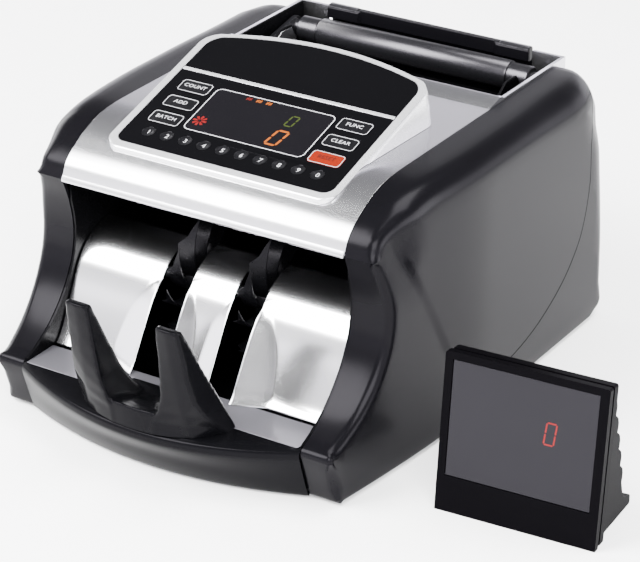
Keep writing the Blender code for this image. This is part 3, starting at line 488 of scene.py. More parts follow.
def casing_rings(inner_x):
    outline = casing_outline()
    count = len(outline)
    stations = []
    for i, (y, z, radius, setback) in enumerate(outline):
        before, after = Vector(outline[i - 1][:2]), Vector(outline[(i + 1) % count][:2])
        along = (after - before).normalized()
        inward = Vector((along.y, -along.x))
        line = [(inner_x, y, z)]
        for k in range(9):
            turn = math.pi / 2 * k / 8
            at = Vector((y, z)) + inward * (setback + radius * (1 - math.cos(turn)))
            x = side_x(at.x, at.y) - radius * (1 - math.sin(turn))
            if k == 0:
                line += [(inner_x + (x - inner_x) * t, y + inward.x * setback * t,
                        z + inward.y * setback * t) for t in (0.33, 0.66)]
            line.append((x, at.x, at.y))
        stations.append(line)
    return stations


def half_shell(work, stations, side):
    """Adds one side's outer surface, its flat part cut into a fine grid; returns the open edge."""
    made = [[work.verts.new((side * x, y, z)) for x, y, z in line] for line in stations]
    count = len(made)
    for i in range(count):
        near, far = made[i], made[(i + 1) % count]
        for j in range(len(near) - 1):
            corners = [near[j], near[j + 1], far[j + 1], far[j]]
            work.faces.new(corners if side > 0 else corners[::-1])
    edge = [line[-1] for line in made]
    panel = [work.faces.new(edge if side < 0 else edge[::-1])]
    around = set(edge)
    planes = [((0.0, y, 0.0), (0.0, 1.0, 0.0)) for y in range(-40, 262, 7)]
    planes += [((0.0, 0.0, z), (0.0, 0.0, 1.0)) for z in range(12, 168, 8)]
    steps = (0.0, 0.9, 1.8, 2.8, 3.8, 4.8, 5.7, 6.6, 7.5)
    planes += [((0.0, STEP_AT[0] + STEP_RUN[0] * d, STEP_AT[1] + STEP_RUN[1] * d), (0.0, *STEP_RUN))
            for d in steps]
    for at, normal in planes:
        pieces = set(panel)
        for face in panel:
            pieces.update(face.edges)
            pieces.update(face.verts)
        cut = bmesh.ops.bisect_plane(work, geom=list(pieces), dist=0.02, plane_co=at, plane_no=normal)
        panel = [item for item in cut["geom"] if isinstance(item, bmesh.types.BMFace)]
    panel_faces = set(panel)
    for vert in {vert for face in panel for vert in face.verts} - around:
        if all(face in panel_faces for face in vert.link_faces):
            vert.co.x = side * side_x(vert.co.y, vert.co.z)
    return [line[0] for line in made]


def behind_seam(shift):
    line = [(y + shift, z - shift) for y, z in smooth_path(SEAM, 5)]
    region = line + [(60.0 + shift, -20.0), (300.0, -20.0), (300.0, 190.0), (253.0 + shift, 190.0)]
    return flat("behind_seam", [region], 320.0, SIDE_VIEW)


def casing_part(name, cuts, operation, keep):
    """The whole casing as a solid, cut, then opened to a wall: cut faces and inner faces go.

    keep picks, by a point on it, which of the loose parts stays.
    """
    stations = casing_rings(BAY_HALF)

    def build(work):
        left = half_shell(work, stations, -1)
        right = half_shell(work, stations, 1)
        count = len(stations)
        for i in range(count):
            j = (i + 1) % count
            on_back = min(stations[i][0][1], stations[j][0][1]) > REAR_Y - 7.0
            low = max(stations[i][0][2], stations[j][0][2]) < DECK_Z - REAR_BEND + 1.0
            face = work.faces.new((left[i], right[i], right[j], left[j]))
            face.material_index = 0 if on_back and low else 1
        bmesh.ops.recalc_face_normals(work, faces=work.faces)
    mesh = mesh_from(name, build)
    piece = thing(name, mesh, None)
    piece.data.materials.append(M["cover"])
    piece.data.materials.append(M["frame"])
    for cutter in cuts:
        helper = thing("helper", cutter, None, smooth=0)
        helper.data.materials.append(M["frame"])
        modify(piece, "BOOLEAN", object=helper, solver="EXACT", material_mode="TRANSFER",
               operation=operation if cutter == cuts[0] else "DIFFERENCE")
        settle(piece)
        bpy.data.objects.remove(helper, do_unlink=True)
    work = bmesh.new()
    work.from_mesh(piece.data)
    inner = [face for face in work.faces if face.material_index or not keep(face.calc_center_median())]
    bmesh.ops.delete(work, geom=inner, context="FACES")
    work.to_mesh(piece.data)
    work.free()
    piece.data.materials.clear()
    piece.data.materials.append(M["cover"])
    return settle(thicken(piece, WALL))


def make_casing():
    for side, name in ((-1, "left"), (1, "right")):
        cover = casing_part(f"side_cover_{name}_fine", [behind_seam(-0.15)], "DIFFERENCE",
                lambda at, side=side: at.x * side > 0)
        done(cover, "machine", f"side_cover_{name}", slot="cover_black")

    cuts = [behind_seam(0.45),
            box("door_gap", (-DOOR_HALF - 0.7, 255.0, 68.3), (DOOR_HALF + 0.7, 275.0, 180.0)),
            box("inlet_gap", (46.2, 255.0, 15.7), (73.8, 275.0, 36.3)),
            box("switch_gap", (25.4, 255.0, 15.8), (38.6, 275.0, 36.2)),
            rod("jack_gap", 5.3, 20.0, ALONG_Y, (5.0, REAR_Y, 26.0)),
            rod("knob_gap", 3.4, 20.0, ALONG_Y, (-88.0, REAR_Y, 110.0))]
    for i in range(5):
        low = 14.0 + 6.5 * i
        slot = rounded_box(-74.0, low, -24.0, low + 3.0, 1.4, 5)
        cuts.append(flat("vent", [slot], 20.0, moved(0, REAR_Y, 0) @ FRONT_VIEW))
    rear = casing_part("rear_shell_fine", cuts, "INTERSECT", lambda at: True)
    done(rear, "machine", "rear_shell", slot="cover_black")


def make_top_cover():
    path = smooth_path(TOP_CURVE, 6)
    path += [(y, DECK_Z) for y in (90.0, 110.0, 130.0, 150.0, HOPPER_FRONT - 0.3)]
    across = [99.7 - 199.4 * i / 24 for i in range(25)]
    rows = [[(x, y, z) for x in across] for y, z in path[::-1]]
    cover = thicken(thing("top_cover_fine", grid("top_cover", rows), "silver"), WALL)
    combine(cover, [flat("opening", [rounded_box(-77.0, 20.0, 77.0, 100.0, 6.0)], 400.0)])
    bevel(cover, 0.5, 3, 50.0)
    done(cover, "machine", "top_cover", slot="silver_paint")
    # The lip that runs along the lower front edge
    lip = [(-2.0, 139.4), (-2.3, 140.4), (-1.9, 141.6), (-0.6, 143.6), (0.4, 143.2), (0.0, 141.0),
           (0.6, 139.3), (-0.6, 138.8)]
    piece = thing("top_cover_lip", flat("lip", [lip], 199.2, SIDE_VIEW), "silver")
    bevel(piece, 0.4)
    done(piece, "machine", slot="silver_paint")


# ---- console

def pod_outline(half, front, rear_side, rear_middle, front_r, rear_r, steps=10):
    right = arc((half - front_r, front + front_r), front_r, -90, 0, steps)
    right += arc((half - rear_r, rear_side), rear_r, 0, 62, steps)
    end_x, end_s = right[-1]
    for i in range(1, steps):
        t = i / steps
        right.append((end_x * (1 - t), end_s + (rear_middle - end_s) * (1 - (1 - t) ** 2)))
    return right + [(0.0, rear_middle)] + [(-x, s) for x, s in reversed(right)]


def make_pod():
    outer = pod_outline(POD_HALF, -1.5, 107.0, 131.0, 9.0, 14.0)

    def ring(grow, height):
        fall = -height
        # Per millimetre down, the wall widens and shortens a little, and its foot runs back
        wider, shorter, back = fall * 0.0015 * 0.914, fall * 0.000968, fall * 0.1371 * 0.94
        return [(x * (1 + wider) + math.copysign(grow, x) * (abs(x) > 1),
                (s + 1.5) * (1 - shorter) - 1.5 - back + grow * (-1 if s < 20 else 1),
                height) for x, s in outer]
    # From the flat top down: a rounded shoulder, then one fine step above the plain wall
    rings = [ring(-1.6, 0.0), ring(-0.9, -0.12), ring(-0.3, -0.55), ring(0.0, -1.3),
            ring(0.1, -3.2), ring(0.6, -3.4), ring(0.75, -4.2), ring(1.0, -62.0)]
    pod = thing("console_pod", loft("pod", rings[::-1]), "bezel", CONSOLE)
    path = [(y, z + 0.3) for y, z in smooth_path(TOP_CURVE, 5)]
    under = [(-12.0, 130.0)] + path[1:] + [(190.0, DECK_Z + 0.3), (190.0, 60.0), (-12.0, 60.0)]
    combine(pod, [flat("deck", [under], 240.0, SIDE_VIEW)])
    recess = pod_outline(OVERLAY_HALF + 0.2, 4.3, 104.0 + 0.2, 126.7, 6.9, 14.0)
    cut = flat("recess", [recess], 20.0, moved(0, 0, 10.0 - 1.8))
    combine(pod, [cut], where=CONSOLE)
    settle(pod, 28.0)
    done(pod, "machine", "console_bezel", slot="silver_paint")


def printed(name, loops, look, where, body, level):
    """A thin printed or lit mark at a level of the given plane."""
    mesh = flat(name, loops, PRINT, moved(0, 0, level))
    return done(thing(name, mesh, look, where, smooth=0), body)


def ring_line(name, outline, width, look, height, where, body):
    """A printed line of constant width that follows a closed outline."""
    count = len(outline)
    inner = []
    for i, (a, b) in enumerate(outline):
        before, after = Vector(outline[i - 1]), Vector(outline[(i + 1) % count])
        along = (after - before).normalized()
        inner.append((a - along.y * width, b + along.x * width))
    return printed(name, [outline, inner], look, where, body, height)


def words(name, text, size, at, look, where, body, height, turn=0.0, spread=1.0):
    """Raised lettering, centred on a point of the given plane."""
    curve = bpy.data.curves.new(name, "FONT")
    curve.body = text
    curve.size = size
    curve.align_x = "CENTER"
    curve.align_y = "CENTER"
    curve.extrude = 0.03
    curve.space_character = spread
    curve.resolution_u = 3
    mesh = mesh_of(curve)
    mesh.transform(moved(at[0], at[1], height) @ Matrix.Rotation(turn, 4, "Z"))
    return done(thing(name, mesh, look, where, smooth=0), body)


def dished(name, loop, depth, thickness, top):
    """A key top: its outline is flat, and its middle is raised or sunk by depth."""
    levels = 7
    rings = [[(a, b, -thickness) for a, b in loop], [(a, b, 0.0) for a, b in loop]]
    for k in range(1, levels + 1):
        t = k / levels
        shrink = 1 - 0.98 * t
        rings.append([(a * shrink, b * shrink, depth * ease(min(t * 1.15, 1.0))) for a, b in loop])
    mesh = loft(name, rings)
    mesh.transform(moved(0, 0, top))
    return mesh


def segment_digit(name, at, width, height, stroke, slant, parts, look, where, body, level):
    """A seven-segment digit; parts picks from a to g."""
    w, h, s = width / 2, height / 2, stroke
    gap = stroke * 0.18
    bars = {"a": ((-w, h), (w, h)), "g": ((-w, 0), (w, 0)), "d": ((-w, -h), (w, -h)),
            "f": ((-w, 0), (-w, h)), "b": ((w, 0), (w, h)), "e": ((-w, -h), (-w, 0)),
            "c": ((w, -h), (w, 0))}
    for key in parts:
        start, end = Vector(bars[key][0]), Vector(bars[key][1])
        run = (end - start).normalized()
        side = Vector((-run.y, run.x)) * s / 2
        start, end = start + run * gap, end - run * gap
        tip = run * s / 2
        loop = [start, start + tip + side, end - tip + side, end, end - tip - side, start + tip - side]
        loop = [(at[0] + p.x + p.y * slant, at[1] + p.y) for p in loop]
        printed(f"{name}_{key}", [loop], look, where, body, level)


def make_console():
    make_pod()
    overlay = pod_outline(OVERLAY_HALF, 4.5, 104.0, 126.5, 6.7, 14.0)
    keys = {}
    for side, names in ((-1, ("batch", "add", "count")), (1, ("reset", "clear", "func"))):
        for word, s in zip(names, KEY_ROWS):
            w, h = KEY_SIZE[0] / 2, KEY_SIZE[1] / 2
            keys[f"key_{word}"] = ((side * KEY_X, s), rounded_box(-w, -h, w, h, 2.4, 6), word.upper())
    for i in range(10):
        x = (i - 4.5) * NUMBER_PITCH
        digit = str((i + 1) % 10)
        keys[f"key_{digit}"] = ((x, NUMBER_ROW), circle((0.0, 0.0), NUMBER_R, 32), digit)
    holes = [[(x + a * 1.02, s + b * 1.02) for a, b in loop] for (x, s), loop, text in keys.values()]
    mesh = flat("overlay", [overlay] + holes, 1.3, moved(0, 0, -0.85))
    plate = thing("console_overlay_fine", mesh, "gloss", CONSOLE)
    bevel(plate, 0.25, 2)
    done(plate, "machine", "console_overlay", slot="gloss_black")
    for name, ((x, s), loop, text) in keys.items():
        number = len(text) == 1
        where = CONSOLE @ Matrix.Translation(Vector((x, s, 0)) * MM)
        look = "orange" if name == "key_reset" else "key"
        depth = -0.45 if number else 0.35
        cap = thing(f"{name}_cap", dished(name, loop, depth, 0.95, -0.12), look, where)
        done(cap, name, name, slot="key_orange" if name == "key_reset" else "key_black")
        if number:
            words(f"{name}_label", text, 5.0, (0.2, -0.2), "ink", where, name, -0.3)
        else:
            line = rounded_box(-KEY_SIZE[0] / 2 + 0.25, -KEY_SIZE[1] / 2 + 0.25,
                    KEY_SIZE[0] / 2 - 0.25, KEY_SIZE[1] / 2 - 0.25, 2.2, 6)
            ring_line(f"{name}_line", line, 0.36, "ink", -0.05, where, name)
            ink = "red_ink" if name == "key_reset" else "ink"
            words(f"{name}_label", text, 4.3, (0, 0.2), ink, where, name, 0.26, spread=1.05)

    # The divider between the display area and the plain upper panel, and the window
    bar = flat("divider", [[(-75.6, 79.3), (75.6, 79.3), (75.6, 81.8), (-75.6, 81.8)]], 0.5,
            moved(0, 0, -0.05))
    divider = bevel(thing("console_divider", bar, "bezel", CONSOLE), 0.15, 2)
    done(divider, "machine", slot="silver_paint")
    pane = flat("pane", [rounded_box(-42.4, 28.2, 42.4, 69.8, 4.0)], 0.1, moved(0, 0, -0.17))
    done(thing("display_pane", pane, "window", CONSOLE, smooth=0), "machine", slot="gloss_black")
    outline = rounded_box(-42.6, 28.0, 42.6, 70.0, 4.2)
    ring_line("display_line", outline, 0.55, "ink", -0.1, CONSOLE, "machine")
    segment_digit("count_digit", (18.3, 39.6), 7.6, 13.6, 1.5, 0.16, "abcdef", "amber", CONSOLE,
            "machine", -0.08)
    segment_digit("batch_digit", (18.6, 56.4), 5.0, 9.6, 1.1, 0.12, "abcdef", "green", CONSOLE,
            "machine", -0.08)
    for i, look in enumerate(("dim_red", "amber", "amber")):
        x = -18.4 + 7.1 * i
        for k in range(2):
            left = x - 1.7 + 2.0 * k
            mark = [(left, 65.5), (left + 0.7, 65.5), (left + 0.8, 66.6), (left + 1.5, 65.5),
                    (left + 1.6, 68.1), (left + 0.9, 68.1), (left + 0.7, 67.0), (left, 68.1)]
            printed(f"mode_light_{i + 1}_{k + 1}", [mark], look, CONSOLE, "machine", -0.08)
    for k in range(8):
        a = 2 * math.pi * k / 8
        petal = []
        for r, off in ((0.9, 0.0), (2.6, -0.33), (4.6, -0.22), (4.9, 0.12), (3.0, 0.22)):
            petal.append((-35.7 + r * math.cos(a + off), 37.8 + r * 0.95 * math.sin(a + off)))
        printed(f"fan_light_{k + 1}", [petal], "red", CONSOLE, "machine", -0.08)


# ---- stacker

def ridge_y(x):
    return -49.0 - 24.0 * (1 - (x / 99.0) ** 2)


def tray_top(y):
    return FLOOR_Z + (y - FLOOR_FRONT) * 0.15


def make_tray():
    rows = []
    for i in range(65):
        x = -99.6 + 199.2 * i / 64
        ridge = ridge_y(x)
        foot = -38.5 - 21.0 * (1 - (x / 100.0) ** 2)
        crest = tray_top(ridge)
        section = [(foot + 1.2, CASE_BOTTOM), (foot, CASE_BOTTOM + 1.0),
                (foot + (ridge - foot) * 0.28, 10.0), (foot + (ridge - foot) * 0.55, 18.0),
                (ridge + 0.9, crest - 7.0), (ridge + 0.3, crest - 4.0),
                (ridge + 0.4, crest - 2.4), (ridge + 1.1, crest - 1.1),
                (ridge + 2.6, crest - 0.3)]
        back = max(min(ridge + 6.0, -47.2), ridge + 2.7)
        section += [(back, tray_top(back)), (-46.6, FLOOR_Z)]
        rows.append([(x, y, z) for y, z in smooth_path(section, 3)])
    tray = thicken(thing("front_tray_fine", grid("tray", rows[::-1]), "tray", smooth=50.0), WALL)
    settle(tray, 50.0)
    done(tray, "machine", "front_tray", slot="cover_black")


PLATE = [(-17.3, 37.3), (-13.0, 41.5), (-7.5, 51.0), (-1.2, 63.0), (4.6, 75.0), (9.6, 84.0),
        (15.6, 91.2), (23.0, 96.6), (31.5, 100.2), (41.0, 102.5)]


def make_deflectors():
    path = smooth_path(PLATE, 5)
    left, right = SLOT
    spans = (("left", -97.9, -right, (False, True), 22.0), ("center", -left, left, (True, True), 13.5),
            ("right", right, 97.9, (True, False), 22.0))
    for name, low, high, flared, wide in spans:
        columns = 72 if high - low > 40 else 44
        rows = []
        for y, z in path[::-1]:
            # The corner beside a slot flares forward: it starts at the edge and widens to the floor
            reach = wide * math.sqrt(max(1.0 - (max(z - 37.0, 0.0) / 48.0) ** 2, 0.0))
            row = []
            for k in range(columns + 1):
                x = low + (high - low) * k / columns
                curl = 0.0
                for edge, on in ((low, flared[0]), (high, flared[1])):
                    fold = reach - abs(x - edge)
                    if on and fold > 0.0:
                        curl -= 0.45 * fold ** 2 / (fold + 2.0)
                row.append((x, y + curl, z))
            rows.append(row[::-1])
        piece = thicken(thing(f"deflector_{name}_fine", grid(name, rows), "deflector"), 1.2)
        done(piece, "machine", f"deflector_{name}", slot="deflector_metal")


def make_outlet():
    path = smooth_path([(9.0, 141.0), (34.0, 139.0), (52.0, 130.0), (66.0, 112.0),
            (77.5, 91.0), (79.5, 66.0)], 5)
    rows = [[(x, y, z) for y, z in path] for x in (-97.9, 0.0, 97.9)]
    guide = thicken(thing("outlet_guide_fine", grid("guide", rows), "frame"), 1.5)
    cuts = []
    for side in (-1, 1):
        low, high = sorted((side * 17.5, side * 34.5))
        cuts.append(box("notch", (low, 46.0, 60.0), (high, 90.0, 125.0)))
    combine(guide, cuts)
    bevel(guide, 0.3, 2)
    done(guide, "machine", "outlet_guide", slot="frame_black")
    floor = thing("stacker_floor_fine", box("floor", (-97.9, FLOOR_FRONT, 35.0), (97.9, -19.6, FLOOR_Z)),
            "floor")
    done(bevel(floor, 0.3, 2), "machine", "stacker_floor", slot="floor_grey")


def add_blade(work, start):
    """One thin blade swept back from its root, longer towards one edge so that its tip is a point."""
    sheets = []
    for sign in (-1, 1):
        rows = []
        for k in range(15):
            t = k / 14
            row = []
            for u in (-1.0, -0.5, 0.0, 0.5, 1.0):
                reach = 40.0 + 7.0 * u + 3.0 * abs(u)
                radius = BLADE_ROOT + (reach - BLADE_ROOT) * t
                out = (radius - BLADE_ROOT) / 36.0
                angle = math.radians(start - BLADE_SWEEP * out ** 1.1)
                # Half the thickness, less towards the tip
                angle += sign * (0.75 - 0.4 * t) / radius
                row.append(work.verts.new((u * 6.0, radius * math.cos(angle), radius * math.sin(angle))))
            rows.append(row)
        sheets.append(rows)
    low, high = sheets
    for p in range(14):
        for q in range(4):
            work.faces.new((high[p][q], high[p][q + 1], high[p + 1][q + 1], high[p + 1][q]))
            work.faces.new((low[p][q], low[p + 1][q], low[p + 1][q + 1], low[p][q + 1]))
        for q in (0, 4):
            work.faces.new((low[p][q], high[p][q], high[p + 1][q], low[p + 1][q]))
    for p in (0, 14):
        for q in range(4):
            work.faces.new((low[p][q], low[p][q + 1], high[p][q + 1], high[p][q]))


def make_wheels():
    for side, name in ((-1, "impeller_left"), (1, "impeller_right")):
        at = moved(side * WHEEL_X, *WHEEL_AXIS)

        def build(work, at=at):
            for i in range(BLADES):
                add_blade(work, BLADE_START + 360.0 / BLADES * i)
            bmesh.ops.recalc_face_normals(work, faces=work.faces)
            bmesh.ops.transform(work, matrix=at, verts=work.verts)
        piece = thing(f"{name}_blades", mesh_from(name, build), "blade")
        done(piece, "impeller", name, slot="wheel_black")
        hub = [(4.3, 6.0), (12.4, 6.0), (13.2, 5.2), (13.2, -5.2), (12.4, -6.0), (4.3, -6.0), (4.3, 6.0)]
        core = turned(f"{name}_hub", hub, ALONG_X, (side * WHEEL_X, *WHEEL_AXIS))
        done(thing(f"{name}_hub", core, "blade"), "impeller", slot="wheel_black")


def make_stopper():
    """Two tall fins that grow out of a low curved foot; joined, remeshed and smoothed."""
    front = [(x, -42.0 - 31.0 * math.sqrt(1 - (x / 56.0) ** 2)) for x in range(-30, 31, 2)]
    foot = flat("foot", [front + [(30.0, -30.0), (-30.0, -30.0)]], 30.0, moved(0, 0, 35.0))
    stopper = thing("note_stopper_fine", foot, "tray", smooth=0)
    bowl = [(-90.0, 47.8), (-73.0, 47.4), (-66.0, 46.2), (-58.0, 43.8), (-50.0, 40.8), (-42.0, 39.2),
            (-35.0, 39.6), (-20.0, 39.6), (-20.0, 70.0), (-90.0, 70.0)]
    combine(stopper, [flat("valley", [bowl], 80.0, SIDE_VIEW)])
    # Height, then the front's inner, middle and outer corners and the rear's outer and inner ones
    levels = [(20.0, (16.0, -73.0), (38.0, -66.0), (55.0, -50.5), (57.0, -42.5), (17.0, -30.0)),
            (34.0, (13.5, -72.5), (38.0, -65.3), (53.5, -50.5), (55.5, -43.5), (18.0, -36.0)),
            (42.0, (14.5, -72.3), (36.0, -67.5), (49.5, -57.5), (52.8, -45.5), (16.0, -41.0)),
            (50.0, (17.6, -72.6), (34.5, -70.2), (46.0, -64.0), (50.0, -48.0), (19.3, -46.0)),
            (60.0, (20.8, -73.8), (33.5, -72.8), (43.3, -69.8), (47.3, -52.0), (21.6, -51.5)),
            (75.0, (22.0, -75.6), (32.8, -75.6), (41.6, -74.0), (44.8, -59.5), (22.4, -59.0)),
            (90.0, (22.8, -77.6), (32.0, -78.0), (41.0, -76.6), (42.6, -66.5), (23.0, -66.5)),
            (103.0, (23.2, -79.6), (31.5, -80.2), (40.0, -79.2), (40.6, -72.5), (23.3, -72.8)),
            (108.8, (23.6, -80.6), (31.2, -81.2), (39.4, -80.4), (39.6, -75.2), (23.6, -75.4))]
    prongs = []
    for side in (-1, 1):
        rings = [[(side * x, y, height) for x, y in corners] for height, *corners in levels]
        prongs.append(loft("prong", rings))
    combine(stopper, prongs, "UNION")
    modify(stopper, "REMESH", mode="VOXEL", voxel_size=0.8 * MM)
    modify(stopper, "SMOOTH", factor=0.5, iterations=22)
    settle(stopper, 80.0)
    tray = [(-110.0, tray_top(-110.0) + 0.2), (FLOOR_FRONT - 0.3, FLOOR_Z + 0.2),
            (0.0, FLOOR_Z + 0.2), (0.0, 0.0), (-110.0, 0.0)]
    combine(stopper, [flat("tray_space", [tray], 240.0, SIDE_VIEW)])
    settle(stopper, 50.0)
    done(stopper, "machine", "note_stopper", slot="cover_black")


# ---- hopper and drive

def make_hopper():
    outer, inner = 99.7, 97.5
    hopper = thing("hopper_frame_fine", box("hopper", (-outer, HOPPER_FRONT, 124.2),
            (outer, 265.1, DECK_Z + 5.0)), "silver")
    above = [(160.0, DECK_Z), (HOPPER_FRONT, DECK_Z), (HOPPER_FRONT + 1.0, DECK_Z + 0.6),
            (HOPPER_MOUTH - 2.0, DECK_Z + 3.2), (HOPPER_MOUTH + 0.5, DECK_Z + 3.2),
            (HOPPER_MOUTH + 3.0, RIM_Z), (275.0, RIM_Z), (275.0, 190.0), (160.0, 190.0)]
    under = [(150.0, 100.0), (179.0, 100.0), (179.0, 168.6), (150.0, 168.6)]
    cuts = [box("mouth", (-inner, HOPPER_MOUTH, 100.0), (inner, 262.9, 200.0)),
            flat("above", [above], 240.0, SIDE_VIEW), flat("under", [under], 240.0, SIDE_VIEW),
            box("door", (-DOOR_HALF - 1.4, 250.0, 60.0), (DOOR_HALF + 1.4, 280.0, 200.0))]
    combine(hopper, cuts)
    bevel(hopper, 0.5, 3)
    done(hopper, "machine", "hopper_frame", slot="silver_paint")
    # Painted shade: black sheets over the well's silver inner walls, up to just under the rim, stand in for
    # the shadow inside the well
    for name, low, high in (("left", (-97.45, 181.6, 125.0), (-96.6, 262.8, RIM_Z - 0.25)),
            ("right", (96.6, 181.6, 125.0), (97.45, 262.8, RIM_Z - 0.25))):
        done(thing(f"hopper_painted_shade_{name}", box("painted_shade", low, high), "frame"), "machine")
    # The front one is painted shade too: a black sheet over the mouth's silver front wall
    painted_shade = box("painted_shade", (-97.2, 181.1, 125.0), (97.2, 181.8, DECK_Z + 2.4))
    done(thing("hopper_painted_shade_front", painted_shade, "frame"), "machine")

    path = smooth_path([(183.0, 160.0), (186.0, 138.0), (191.0, 130.5), (202.0, 128.5),
            (232.0, 133.0), (258.0, 141.0)], 5)
    rows = [[(x, y, z) for x in (-89.0, 0.0, 89.0)] for y, z in path]
    plate = thicken(thing("hopper_plate_fine", grid("plate", rows), "frame"), 1.5)
    cuts = []
    for side in (-1, 1):
        low, high = sorted((side * 21.0, side * 41.0))
        cuts.append(box("slot", (low, 183.5, 115.0), (high, 209.0, 145.0)))
    combine(plate, cuts)
    done(plate, "machine", "hopper_plate", slot="frame_black")
    shape = [(196.0, 138.0), (234.0, 141.0), (234.5, 160.0), (228.0, 169.5), (214.0, 169.5), (197.0, 158.0)]
    for side, name in ((-1, "note_guide_left"), (1, "note_guide_right")):
        turn = moved(side * 84.3, 0, 0) @ SIDE_VIEW
        guide = thing(f"{name}_fine", flat(name, [shape], 1.4, turn), "frame")
        done(bevel(guide, 0.4, 3), name, name, slot="silver_paint")
        # A bright wear plate on the face towards the notes
        turn = moved(side * 83.3, 0, 0) @ SIDE_VIEW
        plate = [(198.0, 139.5), (232.5, 142.0), (233.0, 159.0), (227.3, 167.9), (214.8, 167.9),
                (199.0, 157.5)]
        face = thing(f"{name}_plate", flat(name, [plate], 0.5, turn), "silver")
        done(bevel(face, 0.15, 2), name, slot="silver_paint")


def make_handle():
    at = (0.0, *HANDLE_BAR)
    half = [(0.0, 92.3), (4.4, 92.3), (5.0, 91.7), (5.0, 86.5), (7.6, 86.3), (8.3, 85.6), (8.3, 72.2),
            (7.9, 71.8), (7.9, 71.2), (8.9, 70.9), (9.3, 70.3)]
    profile = half + [(r, -h) for r, h in reversed(half)]
    bar = thing("handle_bar", turned("bar", profile, ALONG_X, at, 72), "satin")
    done(bar, "carry_handle", "carry_handle", slot="frame_black")
    dy, dz = HANDLE_BAR[0] - HANDLE_PIVOT[0], HANDLE_BAR[1] - HANDLE_PIVOT[1]
    reach, tilt = math.hypot(dy, dz), math.atan2(dz, dy)
    for side, name in ((-1, "left"), (1, "right")):
        shape = arc((0.0, 0.0), 7.0, 90, 270, 16) + arc((reach, 0.0), 7.0, -90, 90, 16)
        turn = moved(side * 92.6, *HANDLE_PIVOT) @ SIDE_VIEW @ Matrix.Rotation(tilt, 4, "Z")
        arm = thing(f"handle_arm_{name}", flat("arm", [shape], 3.0, turn), "satin")
        done(bevel(arm, 0.6, 3), "carry_handle", slot="frame_black")


def make_door():
    """Rear door: a panel with a rail whose middle is relieved as a grip."""
    panel = box("panel", (-DOOR_HALF, 265.5, 69.4), (DOOR_HALF, REAR_Y, 170.5))
    door = thing("rear_door_fine", panel, "cover")
    rail = [(259.6, 166.2), (264.6, 165.6), (266.6, 166.4), (266.6, 173.6), (265.6, 174.8),
            (261.4, 174.8), (259.6, 172.8)]
    combine(door, [flat("rail", [rail], 2 * DOOR_HALF, SIDE_VIEW)], "UNION")
    top = [(x, -z) for x, z in ((-54.0, -258.0), (-50.0, -261.4), (50.0, -261.4), (54.0, -258.0))]
    combine(door, [flat("relief", [top + [(54.0, 250.0), (-54.0, 250.0)]], 40.0, moved(0, 0, 170.0))])
    bevel(door, 0.7, 3)
    done(door, "rear_door", "rear_door", slot="frame_black")
    cap = [(259.9, 173.6), (262.4, 175.4), (265.4, 175.2), (266.2, 173.8)]
    for name, low, high in (("left", -DOOR_HALF + 0.4, -53.6), ("right", 53.6, DOOR_HALF - 0.4)):
        turn = moved((low + high) / 2, 0, 0) @ SIDE_VIEW
        end = thing(f"door_end_{name}", flat("end", [cap], high - low, turn), "satin")
        done(bevel(end, 0.5, 2), "rear_door", slot="frame_black")


def make_rear():
    mesh = box("inlet", (46.5, 246.0, 16.0), (73.5, 269.0, 36.0))
    inlet = thing("power_inlet_fine", mesh, "frame")
    combine(inlet, [flat("flange", [rounded_box(43.5, 13.5, 76.5, 38.5, 2.5)], 1.7,
            moved(0, 269.15, 0) @ FRONT_VIEW)], "UNION")
    socket = [(49.0, 18.5), (71.0, 18.5), (71.0, 29.0), (67.0, 33.5), (53.0, 33.5), (49.0, 29.0)]
    combine(inlet, [flat("socket", [socket], 23.0, moved(0, 263.5, 0) @ FRONT_VIEW)])
    bevel(inlet, 0.4, 2)
    done(inlet, "machine", "power_inlet", slot="frame_black")
    for i, (x, z) in enumerate(((53.5, 24.0), (60.0, 28.5), (66.5, 24.0))):
        pin = box("pin", (x - 1.0, 250.5, z - 2.0), (x + 1.0, 266.0, z + 2.0))
        done(bevel(thing(f"inlet_pin_{i + 1}", pin, "steel"), 0.4, 2), "machine")
    rocker = [(-3.4, -9.0), (2.0, -9.0), (2.5, -7.0), (2.7, -1.0), (3.7, 5.0), (4.4, 9.0), (-3.4, 9.0)]
    turn = moved(32.0, REAR_Y - 1.0, 26.0) @ SIDE_VIEW
    switch = thing("power_switch_fine", flat("rocker", [rocker], 12.0, turn), "frame")
    done(bevel(switch, 0.6, 3), "power_switch", "power_switch", slot="frame_black")
    jack = [(0, -6.0), (2.2, -6.0), (2.2, 1.0), (2.5, 1.2), (4.6, 1.2), (5.0, 0.8), (5.0, -10.0), (0, -10.0)]
    mesh = turned("jack", jack, ALONG_Y, (5.0, REAR_Y, 26.0), 40)
    done(thing("display_jack_fine", mesh, "frame"), "machine", "display_jack", slot="frame_black")
    knob = [(0, 7.0), (6.4, 7.0), (7.2, 6.7), (7.8, 6.0), (8.0, 5.0), (8.0, 0.6), (7.7, 0.3), (3.0, 0.3),
            (3.0, -7.0), (0, -7.0)]
    mesh = turned("knob", knob, ALONG_Y, (-88.0, REAR_Y, 110.0), 48)
    knob_piece = thing("gap_knob_fine", mesh, "frame")
    grips = []
    for k in range(16):
        a = 2 * math.pi * k / 16
        at = (-88.0 + 8.6 * math.cos(a), REAR_Y + 4.0, 110.0 + 8.6 * math.sin(a))
        grips.append(rod("grip", 1.1, 9.0, ALONG_Y, at, 12))
    combine(knob_piece, grips)
    done(knob_piece, "gap_knob", "gap_knob", slot="frame_black")
    mark = box("mark", (-88.4, 274.95, 112.5), (-87.6, 275.0, 116.0))
    done(thing("gap_knob_mark", mark, "ink"), "gap_knob")


# ---- remote display

